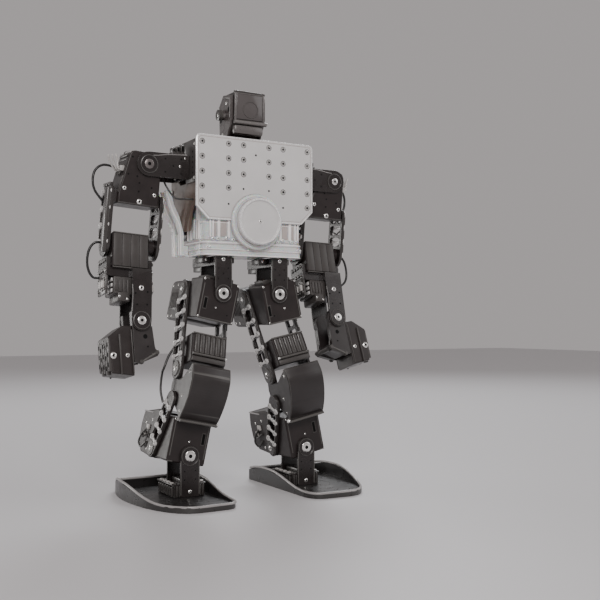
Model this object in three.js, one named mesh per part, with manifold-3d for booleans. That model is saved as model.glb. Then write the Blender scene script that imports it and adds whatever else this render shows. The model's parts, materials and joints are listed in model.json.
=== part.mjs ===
// A humanoid robot kit: a small walking robot of servos, ladder frames and straps.
// Millimetres. +Z is up, the robot faces -Y and its left side is +X. The floor is Z = 0.
// Limbs are written for the left side, where outward is +X, and mirrored for the right.
// The servos and ladders of the arms are the exception: both arms carry the same hand.
import * as THREE from "three";
import { mergeVertices } from "three/addons/utils/BufferGeometryUtils.js";
import Module from "manifold-3d";

const wasm = await Module();
wasm.setup();

// ---------------------------------------------------------------- driving dimensions

const GAP = 0.3; // clearance between neighbouring pieces
const STRAP = 2; // thickness of a strap that carries a roll axis
const LADDER = 3; // thickness of a moulded ladder frame
const SERVO_DEPTH = 30.5; // servo case along its output shaft
const CLEVIS_HALF = SERVO_DEPTH / 2 + GAP + STRAP; // middle of a servo to a strap's outer face

const HIP = { x: 30.7, y: -5.8, z: 194.8 }; // roll axis of a hip
const ANKLE_HEIGHT = 41.2; // roll axis of an ankle above the floor
const LEG_SPLAY = 11.9; // outward lean of a leg, degrees
const LINK = 82; // thigh and shin, axis to axis
const SHIN_PLATE = 53.6; // length of the shin ladders, between the centres of their round ends
const SHIN_PLATE_LEAN = rad(8.6); // their forward lean from the line of the shin
const LEG_DROP = (HIP.z - ANKLE_HEIGHT) / Math.cos(rad(LEG_SPLAY)); // hip to ankle along the leg
const CROUCH = deg(Math.acos(LEG_DROP / (2 * LINK))); // thigh lean, degrees
const PITCH_BACK = 18; // pitch axes of hip and ankle behind Y = 0
const LEG_MIDDLE = 2.5; // middle of the knee cover, outward of the roll axes
const LEG_IN = 17; // inner side of a leg's servo blocks, from its roll axes
const LEG_OUT = 22; // outer side of a leg's servo blocks
const CHEEK = 0.9; // thickness of the knee cover's side plates

const SHOULDER = { x: 62, y: 5.3, z: 315.4 }; // shoulder pitch axis where it leaves the body
const SHOULDER_REACH = 39.9; // pitch flange to roll axis
const ELBOW_DROP = 77; // shoulder roll axis to elbow axis
const WRIST_DROP = 74; // elbow axis to wrist axis
const ARM_RIGHT = -29.5; // inside face of an arm's ladder on the robot's right, from the roll axis
const ARM_LEFT = 15.5; // inside face of its ladder on the robot's left
const ELBOW_CASE = { x0: ARM_RIGHT + 1.2, x1: 7 }; // elbow servo between those ladders

const PLATE = { width: 126, height: 80, thickness: 3, front: -32.2, bottom: 264.5 };
const SHELL = { half: 53.2, front: -28.9, back: 20, bottom: 231, top: 283, wall: 2.4 };

const FIN_REACH = { right: 79, left: 65 }; // the left arm's ladder hangs closer to the body

const POSE = {
  right: { shoulder: -1.5, roll: 4, elbow: 11, wrist: -5 },
  left: { shoulder: -4, roll: -2, elbow: 20, wrist: 6 },
};

// ---------------------------------------------------------------- materials

const FINISHES = {
  black: { color: 0x1b1a1a, roughness: 0.5, metalness: 0 },
  servo: { color: 0x232122, roughness: 0.42, metalness: 0 },
  panel: { color: 0x2b2929, roughness: 0.55, metalness: 0 },
  plate: { color: 0xc9c5c3, roughness: 0.35, metalness: 0.6 },
  shell: { color: 0xe2dad8, roughness: 0.3, metalness: 0 },
  frame: { color: 0x6f5a4c, roughness: 0.5, metalness: 0.5 },
  board: { color: 0x1f4a2c, roughness: 0.6, metalness: 0 },
  rubber: { color: 0x151515, roughness: 0.7, metalness: 0 },
};

const robot = new THREE.Group();
robot.name = "humanoid_robot";

function addMesh(parent, name, geometry, finish) {
  const mesh = new THREE.Mesh(geometry, new THREE.MeshStandardMaterial(FINISHES[finish]));
  mesh.name = name;
  parent.add(mesh);
}

// ---------------------------------------------------------------- geometry helpers

function rad(degrees) {
  return (degrees * Math.PI) / 180;
}

function deg(radians) {
  return (radians * 180) / Math.PI;
}

// detail is half the number of straight steps in each arc of the shape.
function extrude(shape, length, bevel, detail) {
  return new THREE.ExtrudeGeometry(shape, {
    depth: length - 2 * bevel,
    bevelEnabled: bevel > 0,
    bevelSize: bevel,
    bevelThickness: bevel,
    bevelOffset: -bevel,
    bevelSegments: 1,
    curveSegments: detail,
  }).translate(0, 0, bevel);
}

// A shape drawn as (x, z), extruded from y0 to y1.
function alongY(shape, y0, y1, bevel = 0, detail = 2) {
  return extrude(shape, y1 - y0, bevel, detail)
    .rotateX(Math.PI / 2)
    .translate(0, y1, 0);
}

// A shape drawn as (y, z), extruded from x0 to x1.
function alongX(shape, x0, x1, bevel = 0, detail = 2) {
  const turn = new THREE.Matrix4().makeBasis(
    new THREE.Vector3(0, 1, 0),
    new THREE.Vector3(0, 0, 1),
    new THREE.Vector3(1, 0, 0),
  );
  return extrude(shape, x1 - x0, bevel, detail)
    .applyMatrix4(turn)
    .translate(x0, 0, 0);
}

// A shape drawn as (x, y), extruded from z0 to z1.
function alongZ(shape, z0, z1, bevel = 0, detail = 2) {
  return extrude(shape, z1 - z0, bevel, detail).translate(0, 0, z0);
}

function box(x0, x1, y0, y1, z0, z1) {
  const geometry = new THREE.BoxGeometry(x1 - x0, y1 - y0, z1 - z0);
  return geometry.translate((x0 + x1) / 2, (y0 + y1) / 2, (z0 + z1) / 2);
}

function polygon(points) {
  return new THREE.Shape(points.map(([a, b]) => new THREE.Vector2(a, b)));
}

// A rectangle with all corners rounded.
function roundedRect(a0, a1, b0, b1, radius) {
  const shape = new THREE.Shape();
  shape.moveTo(a0 + radius, b0);
  shape.lineTo(a1 - radius, b0);
  shape.absarc(a1 - radius, b0 + radius, radius, -Math.PI / 2, 0, false);
  shape.lineTo(a1, b1 - radius);
  shape.absarc(a1 - radius, b1 - radius, radius, 0, Math.PI / 2, false);
  shape.lineTo(a0 + radius, b1);
  shape.absarc(a0 + radius, b1 - radius, radius, Math.PI / 2, Math.PI, false);
  shape.lineTo(a0, b0 + radius);
  shape.absarc(a0 + radius, b0 + radius, radius, Math.PI, 1.5 * Math.PI, false);
  return shape;
}

// A window with cut corners, for ladder frames.
function windowPath(a0, a1, b0, b1) {
  const cutOff = 1.6;
  return polygon([
    [a0 + cutOff, b0],
    [a1 - cutOff, b0],
    [a1, b0 + cutOff],
    [a1, b1 - cutOff],
    [a1 - cutOff, b1],
    [a0 + cutOff, b1],
    [a0, b1 - cutOff],
    [a0, b0 + cutOff],
  ]);
}

// A strap with a round end about (0, 0) and a square end at height b.
function strapShape(radius, b) {
  const up = b > 0;
  const shape = new THREE.Shape();
  shape.moveTo(radius, b);
  shape.lineTo(radius, 0);
  shape.absarc(0, 0, radius, 0, Math.PI, up);
  shape.lineTo(-radius, b);
  return shape;
}

// A link with round ends about (0, 0) and (0, -length), and windows along the middle.
function ladderShape(radius, length, windows) {
  const shape = new THREE.Shape();
  shape.absarc(0, 0, radius, 0, Math.PI, false);
  shape.absarc(0, -length, radius, Math.PI, 2 * Math.PI, false);
  const pitch = (length - 2 * radius) / windows;
  const half = pitch / 2 - 1.8;
  for (let i = 0; i < windows; i += 1) {
    const middle = -radius - pitch * (i + 0.5);
    shape.holes.push(windowPath(-radius + 3.5, radius - 3.5, middle - half, middle + half));
  }
  return shape;
}

function solidOf(geometry) {
  const bare = geometry.index ? geometry.toNonIndexed() : geometry.clone();
  bare.deleteAttribute("normal");
  bare.deleteAttribute("uv");
  const welded = mergeVertices(bare, 1e-4);
  const mesh = new wasm.Mesh({
    numProp: 3,
    vertProperties: new Float32Array(welded.attributes.position.array),
    triVerts: new Uint32Array(welded.index.array),
  });
  mesh.merge();
  return new wasm.Manifold(mesh);
}

function geometryOf(solid) {
  const mesh = solid.getMesh();
  const geometry = new THREE.BufferGeometry();
  geometry.setAttribute("position", new THREE.BufferAttribute(new Float32Array(mesh.vertProperties), 3));
  geometry.setIndex(new THREE.BufferAttribute(new Uint32Array(mesh.triVerts), 1));
  geometry.computeVertexNormals();
  return geometry;
}

function join(...geometries) {
  return geometryOf(geometries.map(solidOf).reduce((a, b) => a.add(b)));
}

function cut(geometry, ...tools) {
  return geometryOf(tools.map(solidOf).reduce((a, b) => a.subtract(b), solidOf(geometry)));
}

// The same geometry for the left side, or its mirror image for the right side.
function forSide(geometry, side) {
  if (side > 0) {
    return geometry;
  }
  const mirrored = (geometry.index ? geometry.toNonIndexed() : geometry.clone()).scale(-1, 1, 1);
  const corners = mirrored.attributes.position;
  const second = new THREE.Vector3();
  const third = new THREE.Vector3();
  for (let i = 0; i < corners.count; i += 3) {
    second.fromBufferAttribute(corners, i + 1);
    third.fromBufferAttribute(corners, i + 2);
    corners.setXYZ(i + 1, third.x, third.y, third.z);
    corners.setXYZ(i + 2, second.x, second.y, second.z);
  }
  mirrored.computeVertexNormals();
  return mirrored;
}

// A group that turns about an axis through a point of its parent.
function turned(parent, name, side, [x, y, z], axis, angle) {
  const group = new THREE.Group();
  group.name = name;
  group.position.set(side * x, y, z);
  if (axis === "x") {
    group.rotation.x = rad(angle);
  } else if (axis === "y") {
    group.rotation.y = rad(-side * angle);
  } else {
    group.rotation.z = rad(angle);
  }
  parent.add(group);
  return group;
}

function sideName(side) {
  return side > 0 ? "left" : "right";
}

// ---------------------------------------------------------------- torso

function chestPlate() {
  const half = PLATE.width / 2;
  const chamfer = 12;
  const corner = 4;
  const bottom = PLATE.bottom;
  const top = bottom + PLATE.height;
  const shape = new THREE.Shape();
  shape.moveTo(-half + chamfer, bottom);
  shape.lineTo(half - chamfer, bottom);
  shape.lineTo(half, bottom + chamfer);
  shape.lineTo(half, top - corner);
  shape.absarc(half - corner, top - corner, corner, 0, Math.PI / 2, false);
  shape.lineTo(-half + corner, top);
  shape.absarc(-half + corner, top - corner, corner, Math.PI / 2, Math.PI, false);
  shape.lineTo(-half, bottom + chamfer);
  return alongY(shape, PLATE.front, PLATE.front + PLATE.thickness, 0.5);
}

const CAP = { z: 263.8, radius: 22.5, inner: 20.4, depth: 10, ring: 27 };

// A dished round cap with a raised rim, turned about the Y axis.
function roundCap() {
  const profile = [
    [0, 1.4 - CAP.depth],
    [1.6, 1.4 - CAP.depth],
    [2, 0.6 - CAP.depth],
    [CAP.inner - 0.6, 1.2 - CAP.depth],
    [CAP.inner, -CAP.depth],
    [CAP.radius - 1.4, -CAP.depth],
    [CAP.radius, 2 - CAP.depth],
    [CAP.radius, -GAP],
    [0, -GAP],
  ].map(([r, y]) => new THREE.Vector2(r, y));
  return new THREE.LatheGeometry(profile, 36).translate(0, PLATE.front, CAP.z);
}

// Moulded see-through body shell: front, sides and a bottom ledge, open at the top and back.
function bodyShell() {
  const { half, front, back, bottom, top, wall } = SHELL;
  const ledge = 1.2;
  const ledgeHeight = 12;
  const corner = 9;
  const base = roundedRect(-half - ledge, half + ledge, front, back, corner);
  const lower = alongZ(base, bottom, bottom + ledgeHeight, 1);
  const upper = alongZ(roundedRect(-half, half, front, back, corner), bottom + ledgeHeight - 1, top);
  const hollow = alongZ(
    roundedRect(-half + wall, half - wall, front + wall, back + corner, corner - wall),
    bottom + wall,
    top + 1,
  );
  const hipSlots = [-1, 1].map((side) =>
    box(side * HIP.x - 11, side * HIP.x + 11, front + 7, back + 1, bottom - 1, bottom + wall + 1),
  );
  return cut(join(lower, upper), hollow, ...hipSlots);
}

// Two curved fairing blades on a web, standing off the side of the shell.
function sideFin(reach) {
  const waist = 64.2;
  const outline = () => {
    const shape = new THREE.Shape();
    shape.moveTo(reach, 294);
    shape.bezierCurveTo(reach, 276, waist + 3, 268, waist, 252);
    shape.lineTo(waist - 0.5, SHELL.bottom);
    shape.lineTo(waist - 4, SHELL.bottom);
    shape.lineTo(waist - 3.8, 253);
    shape.bezierCurveTo(waist - 1.5, 272, reach - 6, 278, reach - 5, 294);
    return shape;
  };
  const web = box(54.8, 61, 6, 22, SHELL.bottom, SHELL.bottom + 10);
  return join(alongY(outline(), 4, 9, 0, 3), alongY(outline(), 20, 25, 0, 3), web);
}

// Folded metal chassis: two side plates, a back wall, and a narrow lid with a hole for the neck.
function torsoFrame() {
  const side = polygon([
    [-28.6, 290],
    [-28.6, 326],
    [38, 326],
    [38, 255],
    [-6, 255],
    [-12, 275],
  ]);
  const wall = polygon([
    [-59.8, 255],
    [59.8, 255],
    [59.8, 326],
    [30, 342],
    [-30, 342],
    [-59.8, 326],
  ]);
  return cut(
    join(
      alongX(side, -59.8, -57.4),
      alongX(side, 57.4, 59.8),
      alongY(wall, 35.6, 38),
      box(-22, 22, -28.6, 38, 339.6, 342),
    ),
    box(-12, 12, -15.5, 15.5, 338, 343),
    alongX(roundedRect(-8, 18.6, 301, 324, 6), -61, 61),
  );
}

// Rear housing for the battery and electronics.
function backCover() {
  const shape = roundedRect(38.3, 62, 250, 336, 8);
  return alongX(shape, -42, 42, 2);
}

function hipClevis() {
  const front = HIP.y - CLEVIS_HALF;
  const back = HIP.y + CLEVIS_HALF;
  const radius = 8.8;
  const drop = SHELL.bottom - GAP - HIP.z;
  const strap = strapShape(radius, drop);
  const bridge = box(-radius, radius, front, back + 20, 27, drop);
  return join(alongY(strap, front, front + STRAP, 0, 5), alongY(strap, back - STRAP, back, 0, 5), bridge)
    .translate(HIP.x, 0, HIP.z);
}

function buildTorso() {
  addMesh(robot, "chest_plate", chestPlate(), "plate");
  addMesh(robot, "round_cap", roundCap(), "plate");
  addMesh(robot, "body_shell", bodyShell(), "shell");
  addMesh(robot, "torso_frame", torsoFrame(), "frame");
  addMesh(robot, "back_cover", backCover(), "black");
  addMesh(robot, "battery_pack", alongY(roundedRect(-34, 34, 246, 282, 3), -6, 14, 1), "rubber");
  addMesh(robot, "control_board", box(-40, 40, -20, -18.4, 250, 330), "board");
  addMesh(robot, "neck_servo", alongZ(roundedRect(-10.5, 10.5, -14, 14, 2), 312, 345, 0.8), "servo");
  for (const side of [-1, 1]) {
    const label = sideName(side);
    addMesh(robot, `side_fin_${label}`, forSide(sideFin(FIN_REACH[label]), side), "shell");
    addMesh(robot, `hip_clevis_${label}`, forSide(hipClevis(), side), "black");
    const servo = join(
      alongX(roundedRect(-5.2, 15.8, 294.9, 335.9, 2), 24, 53, 0.8),
      new THREE.CylinderGeometry(5.5, 5.5, 9, 20).rotateZ(Math.PI / 2).translate(57, SHOULDER.y, SHOULDER.z),
    );
    addMesh(robot, `shoulder_servo_${label}`, forSide(servo, side), "servo");
  }
}

// ---------------------------------------------------------------- head

const NECK = { y: 0, z: 346 };

function buildHead() {
  const head = turned(robot, "head_turn", 1, [0, NECK.y, NECK.z], "z", 0);
  const cheek = polygon([
    [-14, 20],
    [-14, 44],
    [4, 47],
    [14, 37],
    [12, 0],
    [-2, 0],
    [-8, 10],
  ]);
  const boss = new THREE.CylinderGeometry(5, 5, 6, 24).rotateZ(Math.PI / 2).translate(-21, 4, 27);
  const frame = join(
    alongX(cheek, -18.6, -16.6),
    alongX(cheek, 16.6, 18.6),
    box(-18.6, 18.6, -2, 12, 0, 2),
    boss,
  );
  addMesh(head, "head_frame", frame, "panel");
  const block = alongX(
    polygon([
      [-16, 18],
      [-17, 47.5],
      [5, 48],
      [13, 40],
      [11, 4],
      [-1, 4],
    ]),
    -16.3,
    16.3,
    1,
  );
  addMesh(head, "head_block", block, "servo");
}

// ---------------------------------------------------------------- arms

function shoulderBracket() {
  const radius = 11.5;
  const strap = strapShape(radius, SHOULDER_REACH);
  const outward = (geometry) => geometry.rotateY(-Math.PI / 2).translate(SHOULDER_REACH, 0, 0);
  return join(
    outward(alongY(strap, -CLEVIS_HALF, -CLEVIS_HALF + STRAP, 0, 5)),
    outward(alongY(strap, CLEVIS_HALF - STRAP, CLEVIS_HALF, 0, 5)),
    box(0, 3, -CLEVIS_HALF, CLEVIS_HALF, -radius, radius),
  );
}

// Ladder frame that hangs beside the roll servo and carries the elbow axis at its round end.
function armFrame(x0, x1, top) {
  const half = 13;
  const shape = new THREE.Shape();
  shape.moveTo(half, -ELBOW_DROP);
  shape.lineTo(half, top - 3);
  shape.lineTo(half - 3, top);
  shape.lineTo(3 - half, top);
  shape.lineTo(-half, top - 3);
  shape.lineTo(-half, -ELBOW_DROP);
  shape.absarc(0, -ELBOW_DROP, half, Math.PI, 2 * Math.PI, false);
  const windows = 3;
  const span = top + ELBOW_DROP - 12;
  const pitch = span / windows;
  for (let i = 0; i < windows; i += 1) {
    const middle = top - 3 - pitch * (i + 0.5);
    shape.holes.push(windowPath(3.5 - half, half - 3.5, middle - pitch / 2 + 1.4, middle + pitch / 2 - 1.4));
  }
  return alongX(shape, x0, x1, 0, 5);
}

// The roll servo's case, wider towards the ladders that hang from its lower edge.
function armRollServo() {
  const half = SERVO_DEPTH / 2;
  const front = polygon([
    [-13, 11],
    [7, 11],
    [11, 9],
    [13, 5],
    [13, -40],
    [ARM_RIGHT + 3, -40],
    [ARM_RIGHT + 3, -30],
    [-18.5, 7],
    [-16.5, 10],
  ]);
  return join(
    alongY(front, -half, half, 1),
    box(ARM_RIGHT + GAP, ARM_RIGHT + 5, -11, 13, -39, -27),
    box(11, ARM_LEFT - GAP, -11, 13, -39, -27),
  );
}

// The ribbed elbow servo, with a horn boss that reaches the ladder on the robot's left.
function elbowServo() {
  const half = SERVO_DEPTH / 2;
  const boss = new THREE.CylinderGeometry(8, 8, 9, 24).rotateZ(Math.PI / 2);
  return join(
    alongX(roundedRect(-half, half, -25, 8, 2.5), ELBOW_CASE.x0, ELBOW_CASE.x1, 1),
    boss.translate(ARM_LEFT - GAP - 4.5, 0, 0),
  );
}

// A servo lead of round section along a smooth route.
function lead(points) {
  const radius = 1.3;
  const section = new THREE.Shape();
  section.absarc(0, 0, radius, 0, 2 * Math.PI, false);
  const route = new THREE.CatmullRomCurve3(points.map(([x, y, z]) => new THREE.Vector3(x, y, z)));
  const steps = Math.round(route.getLength() / (5 * radius));
  return new THREE.ExtrudeGeometry(section, { steps, extrudePath: route, curveSegments: 4 });
}

// From the roll servo's outer face down to the outer ladder.
function upperLead(caseFace, ladderFace) {
  return lead([
    [caseFace + 3 * GAP, 8, -4],
    [ladderFace + 4, 9, -3],
    [ladderFace + 11, 9, -10],
    [ladderFace + 11, 8, -26],
    [ladderFace + 3 * GAP, 7, -38],
  ]);
}

// From the elbow axis at the outer ladder, out and down to the forearm bracket.
function lowerLead(ladderFace, bracketFace) {
  return lead([
    [ladderFace + 3 * GAP, 0, 0],
    [ladderFace + 8, 1, 0],
    [ladderFace + 13, 3, -10],
    [ladderFace + 12, 5, -26],
    [bracketFace + 6, 5, -34],
    [bracketFace + 3 * GAP, 4, -33],
  ]);
}

// Side arms round the elbow servo, a floor under it, and the two straps of the wrist.
function forearmBracket() {
  const radius = 9.5;
  const plateTop = -25 - GAP;
  const plateBottom = plateTop - 8;
  const strap = strapShape(radius, WRIST_DROP + plateTop - 1);
  const arm = roundedRect(-12, 12, plateBottom, -15, 2);
  const { x0, x1 } = ELBOW_CASE;
  return join(
    alongX(arm, x0 - GAP - 4, x0 - GAP),
    alongX(arm, x1 + GAP, x1 + GAP + 4),
    box(x0 - GAP - 1, x1 + GAP + 1, -12, 12, plateBottom, plateTop),
    box(-radius, radius, -CLEVIS_HALF, CLEVIS_HALF, plateBottom, plateTop),
    alongY(strap, -CLEVIS_HALF, -CLEVIS_HALF + STRAP, 0, 5).translate(0, 0, -WRIST_DROP),
    alongY(strap, CLEVIS_HALF - STRAP, CLEVIS_HALF, 0, 5).translate(0, 0, -WRIST_DROP),
  );
}

function handBlock() {
  const shape = polygon([
    [9, -4],
    [9, -50],
    [30, -47],
    [32, -14],
    [18, -4],
  ]);
  return alongY(shape, -15, 15, 1);
}

function handHook() {
  const shape = new THREE.Shape();
  shape.moveTo(8.6, 9);
  shape.lineTo(8.6, -38);
  shape.lineTo(3, -39);
  shape.lineTo(-14, -33);
  shape.lineTo(-16, -29);
  shape.lineTo(-12, -26);
  shape.lineTo(-10.5, -5);
  shape.absarc(0, 0, 11, Math.PI + 0.5, 0.9, true);
  const finger = polygon([
    [-13, -31],
    [3, -38.5],
    [-8, -24],
  ]);
  return join(
    alongY(shape, -15.2, -9.2),
    alongY(shape, 9.2, 15.2),
    alongY(finger, -10, 10),
    box(2, 8.6, -10, 10, -36, -14),
  );
}

function buildArm(side) {
  const label = sideName(side);
  const pose = POSE[label];
  const axis = [SHOULDER.x, SHOULDER.y, SHOULDER.z];
  const shoulder = turned(robot, `shoulder_${label}`, side, axis, "x", -pose.shoulder);
  addMesh(shoulder, `shoulder_bracket_${label}`, forSide(shoulderBracket(), side), "black");

  // The servos of both arms are the same hand, so only their leads are mirrored.
  const upper = turned(shoulder, `upper_arm_${label}`, side, [SHOULDER_REACH, 0, 0], "y", pose.roll);
  addMesh(upper, `arm_roll_servo_${label}`, armRollServo(), "servo");
  const ladders = [armFrame(ARM_RIGHT - LADDER, ARM_RIGHT, -24), armFrame(ARM_LEFT, ARM_LEFT + LADDER, -28)];
  const [outerFrame, innerFrame] = side < 0 ? ladders : ladders.reverse();
  addMesh(upper, `arm_frame_outer_${label}`, outerFrame, "black");
  addMesh(upper, `arm_frame_inner_${label}`, innerFrame, "black");
  const caseFace = side < 0 ? 22 : 13;
  const ladderFace = LADDER + (side < 0 ? -ARM_RIGHT : ARM_LEFT);
  addMesh(upper, `upper_lead_${label}`, forSide(upperLead(caseFace, ladderFace), side), "rubber");

  const forearm = turned(upper, `forearm_${label}`, side, [0, 0, -ELBOW_DROP], "x", -pose.elbow);
  addMesh(forearm, `elbow_servo_${label}`, elbowServo(), "servo");
  addMesh(forearm, `forearm_bracket_${label}`, forearmBracket(), "black");
  const bracketFace = GAP + 4 + (side < 0 ? -ELBOW_CASE.x0 : ELBOW_CASE.x1);
  addMesh(forearm, `lower_lead_${label}`, forSide(lowerLead(ladderFace, bracketFace), side), "rubber");

  const hand = turned(forearm, `hand_${label}`, side, [0, 0, -WRIST_DROP], "y", pose.wrist);
  addMesh(hand, `hand_block_${label}`, forSide(handBlock(), side), "servo");
  addMesh(hand, `hand_hook_${label}`, forSide(handHook(), side), "panel");
}

// ---------------------------------------------------------------- legs

// The roll and pitch servos of a hip, seen from its pitch axis.
function buildHipUnit(hip, side, label) {
  const half = SERVO_DEPTH / 2;
  const roll = alongY(roundedRect(-LEG_IN, LEG_OUT, -28, 12, 2), HIP.y - half, HIP.y + half, 1);
  addMesh(hip, `hip_roll_servo_${label}`, forSide(roll, side), "servo");
  const pitch = alongX(roundedRect(HIP.y + CLEVIS_HALF + GAP, 57, -30, 10, 7), -LEG_IN, LEG_OUT, 1);
  addMesh(hip, `hip_pitch_servo_${label}`, forSide(pitch, side), "servo");
}

function linkPlate(x0, x1, windows) {
  return alongX(ladderShape(10, LINK, windows), x0, x1, 0, 5);
}

// Narrower than the other leg servos by the knee cover's cheeks, which pass beside it.
function kneeServo() {
  const inset = CHEEK + GAP;
  return alongX(roundedRect(-22, 9, -79, -50, 3), inset - LEG_IN, LEG_OUT - inset, 1);
}

// Curved knee guard with a round spacer along its lower edge and two cheeks that hang on the knee axis.
function kneeCover() {
  const x0 = -LEG_IN;
  const x1 = LEG_OUT;
  const skin = new THREE.Shape();
  skin.moveTo(-26.5, 15);
  skin.quadraticCurveTo(-37, 4, -38, -12);
  skin.quadraticCurveTo(-38.5, -26, -34, -37);
  skin.lineTo(-31, -37);
  skin.quadraticCurveTo(-35.4, -26, -35, -12);
  skin.quadraticCurveTo(-34, 3, -24, 13);
  const cheek = new THREE.Shape();
  cheek.moveTo(-26.5, 15);
  cheek.quadraticCurveTo(-37, 4, -38, -12);
  cheek.quadraticCurveTo(-38.5, -26, -34, -37);
  cheek.lineTo(-26, -34);
  cheek.lineTo(-14, -31);
  cheek.lineTo(0, -30);
  cheek.lineTo(6, -20);
  cheek.absarc(0, 0, 9, -0.2, Math.PI, false);
  cheek.lineTo(-12, -6);
  cheek.lineTo(-21, 7);
  const spacer = new THREE.CylinderGeometry(2.6, 2.6, x1 - x0, 16).rotateZ(Math.PI / 2);
  return join(
    alongX(skin, x0, x1),
    alongX(cheek, x0, x0 + CHEEK),
    alongX(cheek, x1 - CHEEK, x1),
    spacer.translate(LEG_MIDDLE, -32.5, -37.5),
  );
}

// Ladder from the ankle axis up to the knee cover's cheek, leaning forwards of the shin.
function shinPlate(x0, x1) {
  const plate = alongX(ladderShape(9, SHIN_PLATE, 3), x0, x1, 0, 5);
  plate.translate(0, 0, SHIN_PLATE);
  plate.rotateX(SHIN_PLATE_LEAN);
  return plate.translate(0, 0, -LINK);
}

function buildAnkleUnit(ankle, side, label) {
  const front = ANKLE_FRONT + STRAP + GAP - PITCH_BACK;
  const roll = alongY(roundedRect(-LEG_IN, LEG_OUT, -8, 34, 2), front, front + SERVO_DEPTH, 1);
  addMesh(ankle, `ankle_roll_servo_${label}`, forSide(roll, side), "servo");
  const back = front + SERVO_DEPTH + 2 * GAP + STRAP;
  const pitch = polygon([
    [back, -9],
    [back, 36],
    [back + 10, 38],
    [44, 33],
    [47, 20],
    [46, 5],
    [36, -7],
    [10, -9],
  ]);
  addMesh(ankle, `ankle_pitch_servo_${label}`, forSide(alongX(pitch, -LEG_IN, LEG_OUT, 1), side), "servo");
}

const ANKLE_FRONT = -19.9; // outer face of the ankle's front strap

function soleOutline(inset) {
  const shape = new THREE.Shape();
  shape.moveTo(-22, 60 - inset);
  shape.quadraticCurveTo(-26 + inset, 60 - inset, -26 + inset, 55);
  shape.lineTo(-26 + inset, -58);
  shape.quadraticCurveTo(-25 + inset, -76 + inset, -12, -78 + inset);
  shape.lineTo(16, -79 + inset);
  shape.bezierCurveTo(42 - inset, -78 + inset, 55 - inset, -30, 55 - inset, 8);
  shape.quadraticCurveTo(55 - inset, 36, 46 - inset, 60 - inset);
  return shape;
}

// A tray whose rim swells beside the ankle and is low round the toe.
function sole() {
  const rim = 17;
  const floor = -ANKLE_HEIGHT;
  const tray = alongZ(soleOutline(0), floor, floor + rim, 0, 8);
  const hollow = alongZ(soleOutline(2.4), floor + 3, floor + rim + 1, 0, 8);
  const above = new THREE.Shape();
  above.moveTo(61, floor + 10);
  above.bezierCurveTo(40, floor + 18, 10, floor + 18, -12, floor + 12.5);
  above.bezierCurveTo(-34, floor + 7, -44, floor + 5, -60, floor + 5);
  above.lineTo(-81, floor + 5);
  above.lineTo(-81, floor + rim + 2);
  above.lineTo(61, floor + rim + 2);
  return cut(tray, hollow, alongX(above, -30, 60));
}

function ankleClevis() {
  const radius = 9.5;
  const bottom = -ANKLE_HEIGHT + 3 + GAP;
  const front = ANKLE_FRONT;
  const back = front + 2 * CLEVIS_HALF;
  const strap = strapShape(radius, bottom);
  return join(
    alongY(strap, front, front + STRAP, 0, 5),
    alongY(strap, back - STRAP, back, 0, 5),
    box(-radius, radius, front, back, bottom, bottom + 4),
    box(-15, 15, front + STRAP, back + 6, bottom, bottom + 12),
  );
}

function buildLeg(side) {
  const label = sideName(side);
  const hip = turned(robot, `hip_${label}`, side, [HIP.x, 0, HIP.z], "y", LEG_SPLAY);
  buildHipUnit(hip, side, label);

  const thighOut = LEG_OUT + GAP;
  const thighIn = -LEG_IN - GAP;
  const thigh = turned(hip, `thigh_${label}`, side, [0, PITCH_BACK, 0], "x", -CROUCH);
  const thighOuter = linkPlate(thighOut, thighOut + LADDER, 4);
  const thighInner = linkPlate(thighIn - LADDER, thighIn, 4);
  addMesh(thigh, `thigh_frame_outer_${label}`, forSide(thighOuter, side), "black");
  addMesh(thigh, `thigh_frame_inner_${label}`, forSide(thighInner, side), "black");
  addMesh(thigh, `knee_servo_${label}`, forSide(kneeServo(), side), "servo");

  const shin = turned(thigh, `shin_${label}`, side, [0, 0, -LINK], "x", 2 * CROUCH);
  addMesh(shin, `shin_frame_outer_${label}`, forSide(shinPlate(thighOut, thighOut + LADDER), side), "black");
  addMesh(shin, `shin_frame_inner_${label}`, forSide(shinPlate(thighIn - LADDER, thighIn), side), "black");
  addMesh(shin, `knee_cover_${label}`, forSide(kneeCover(), side), "panel");

  const ankle = turned(shin, `ankle_${label}`, side, [0, 0, -LINK], "x", -CROUCH);
  buildAnkleUnit(ankle, side, label);

  const foot = turned(ankle, `foot_${label}`, side, [0, -PITCH_BACK, 0], "y", -LEG_SPLAY);
  addMesh(foot, `sole_${label}`, forSide(sole(), side), "rubber");
  addMesh(foot, `ankle_clevis_${label}`, forSide(ankleClevis(), side), "black");
}

// ---------------------------------------------------------------- assembly

buildTorso();
buildHead();
for (const side of [-1, 1]) {
  buildArm(side);
  buildLeg(side);
}

// The row's origin is the middle of the whole robot's footprint, on the floor.
const bounds = new THREE.Box3().setFromObject(robot, true);
const middle = bounds.getCenter(new THREE.Vector3());
robot.position.set(-middle.x, -middle.y, -bounds.min.z);

export default robot;
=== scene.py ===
import json
import math

import bmesh
import bpy
from mathutils import Matrix, Vector

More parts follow.
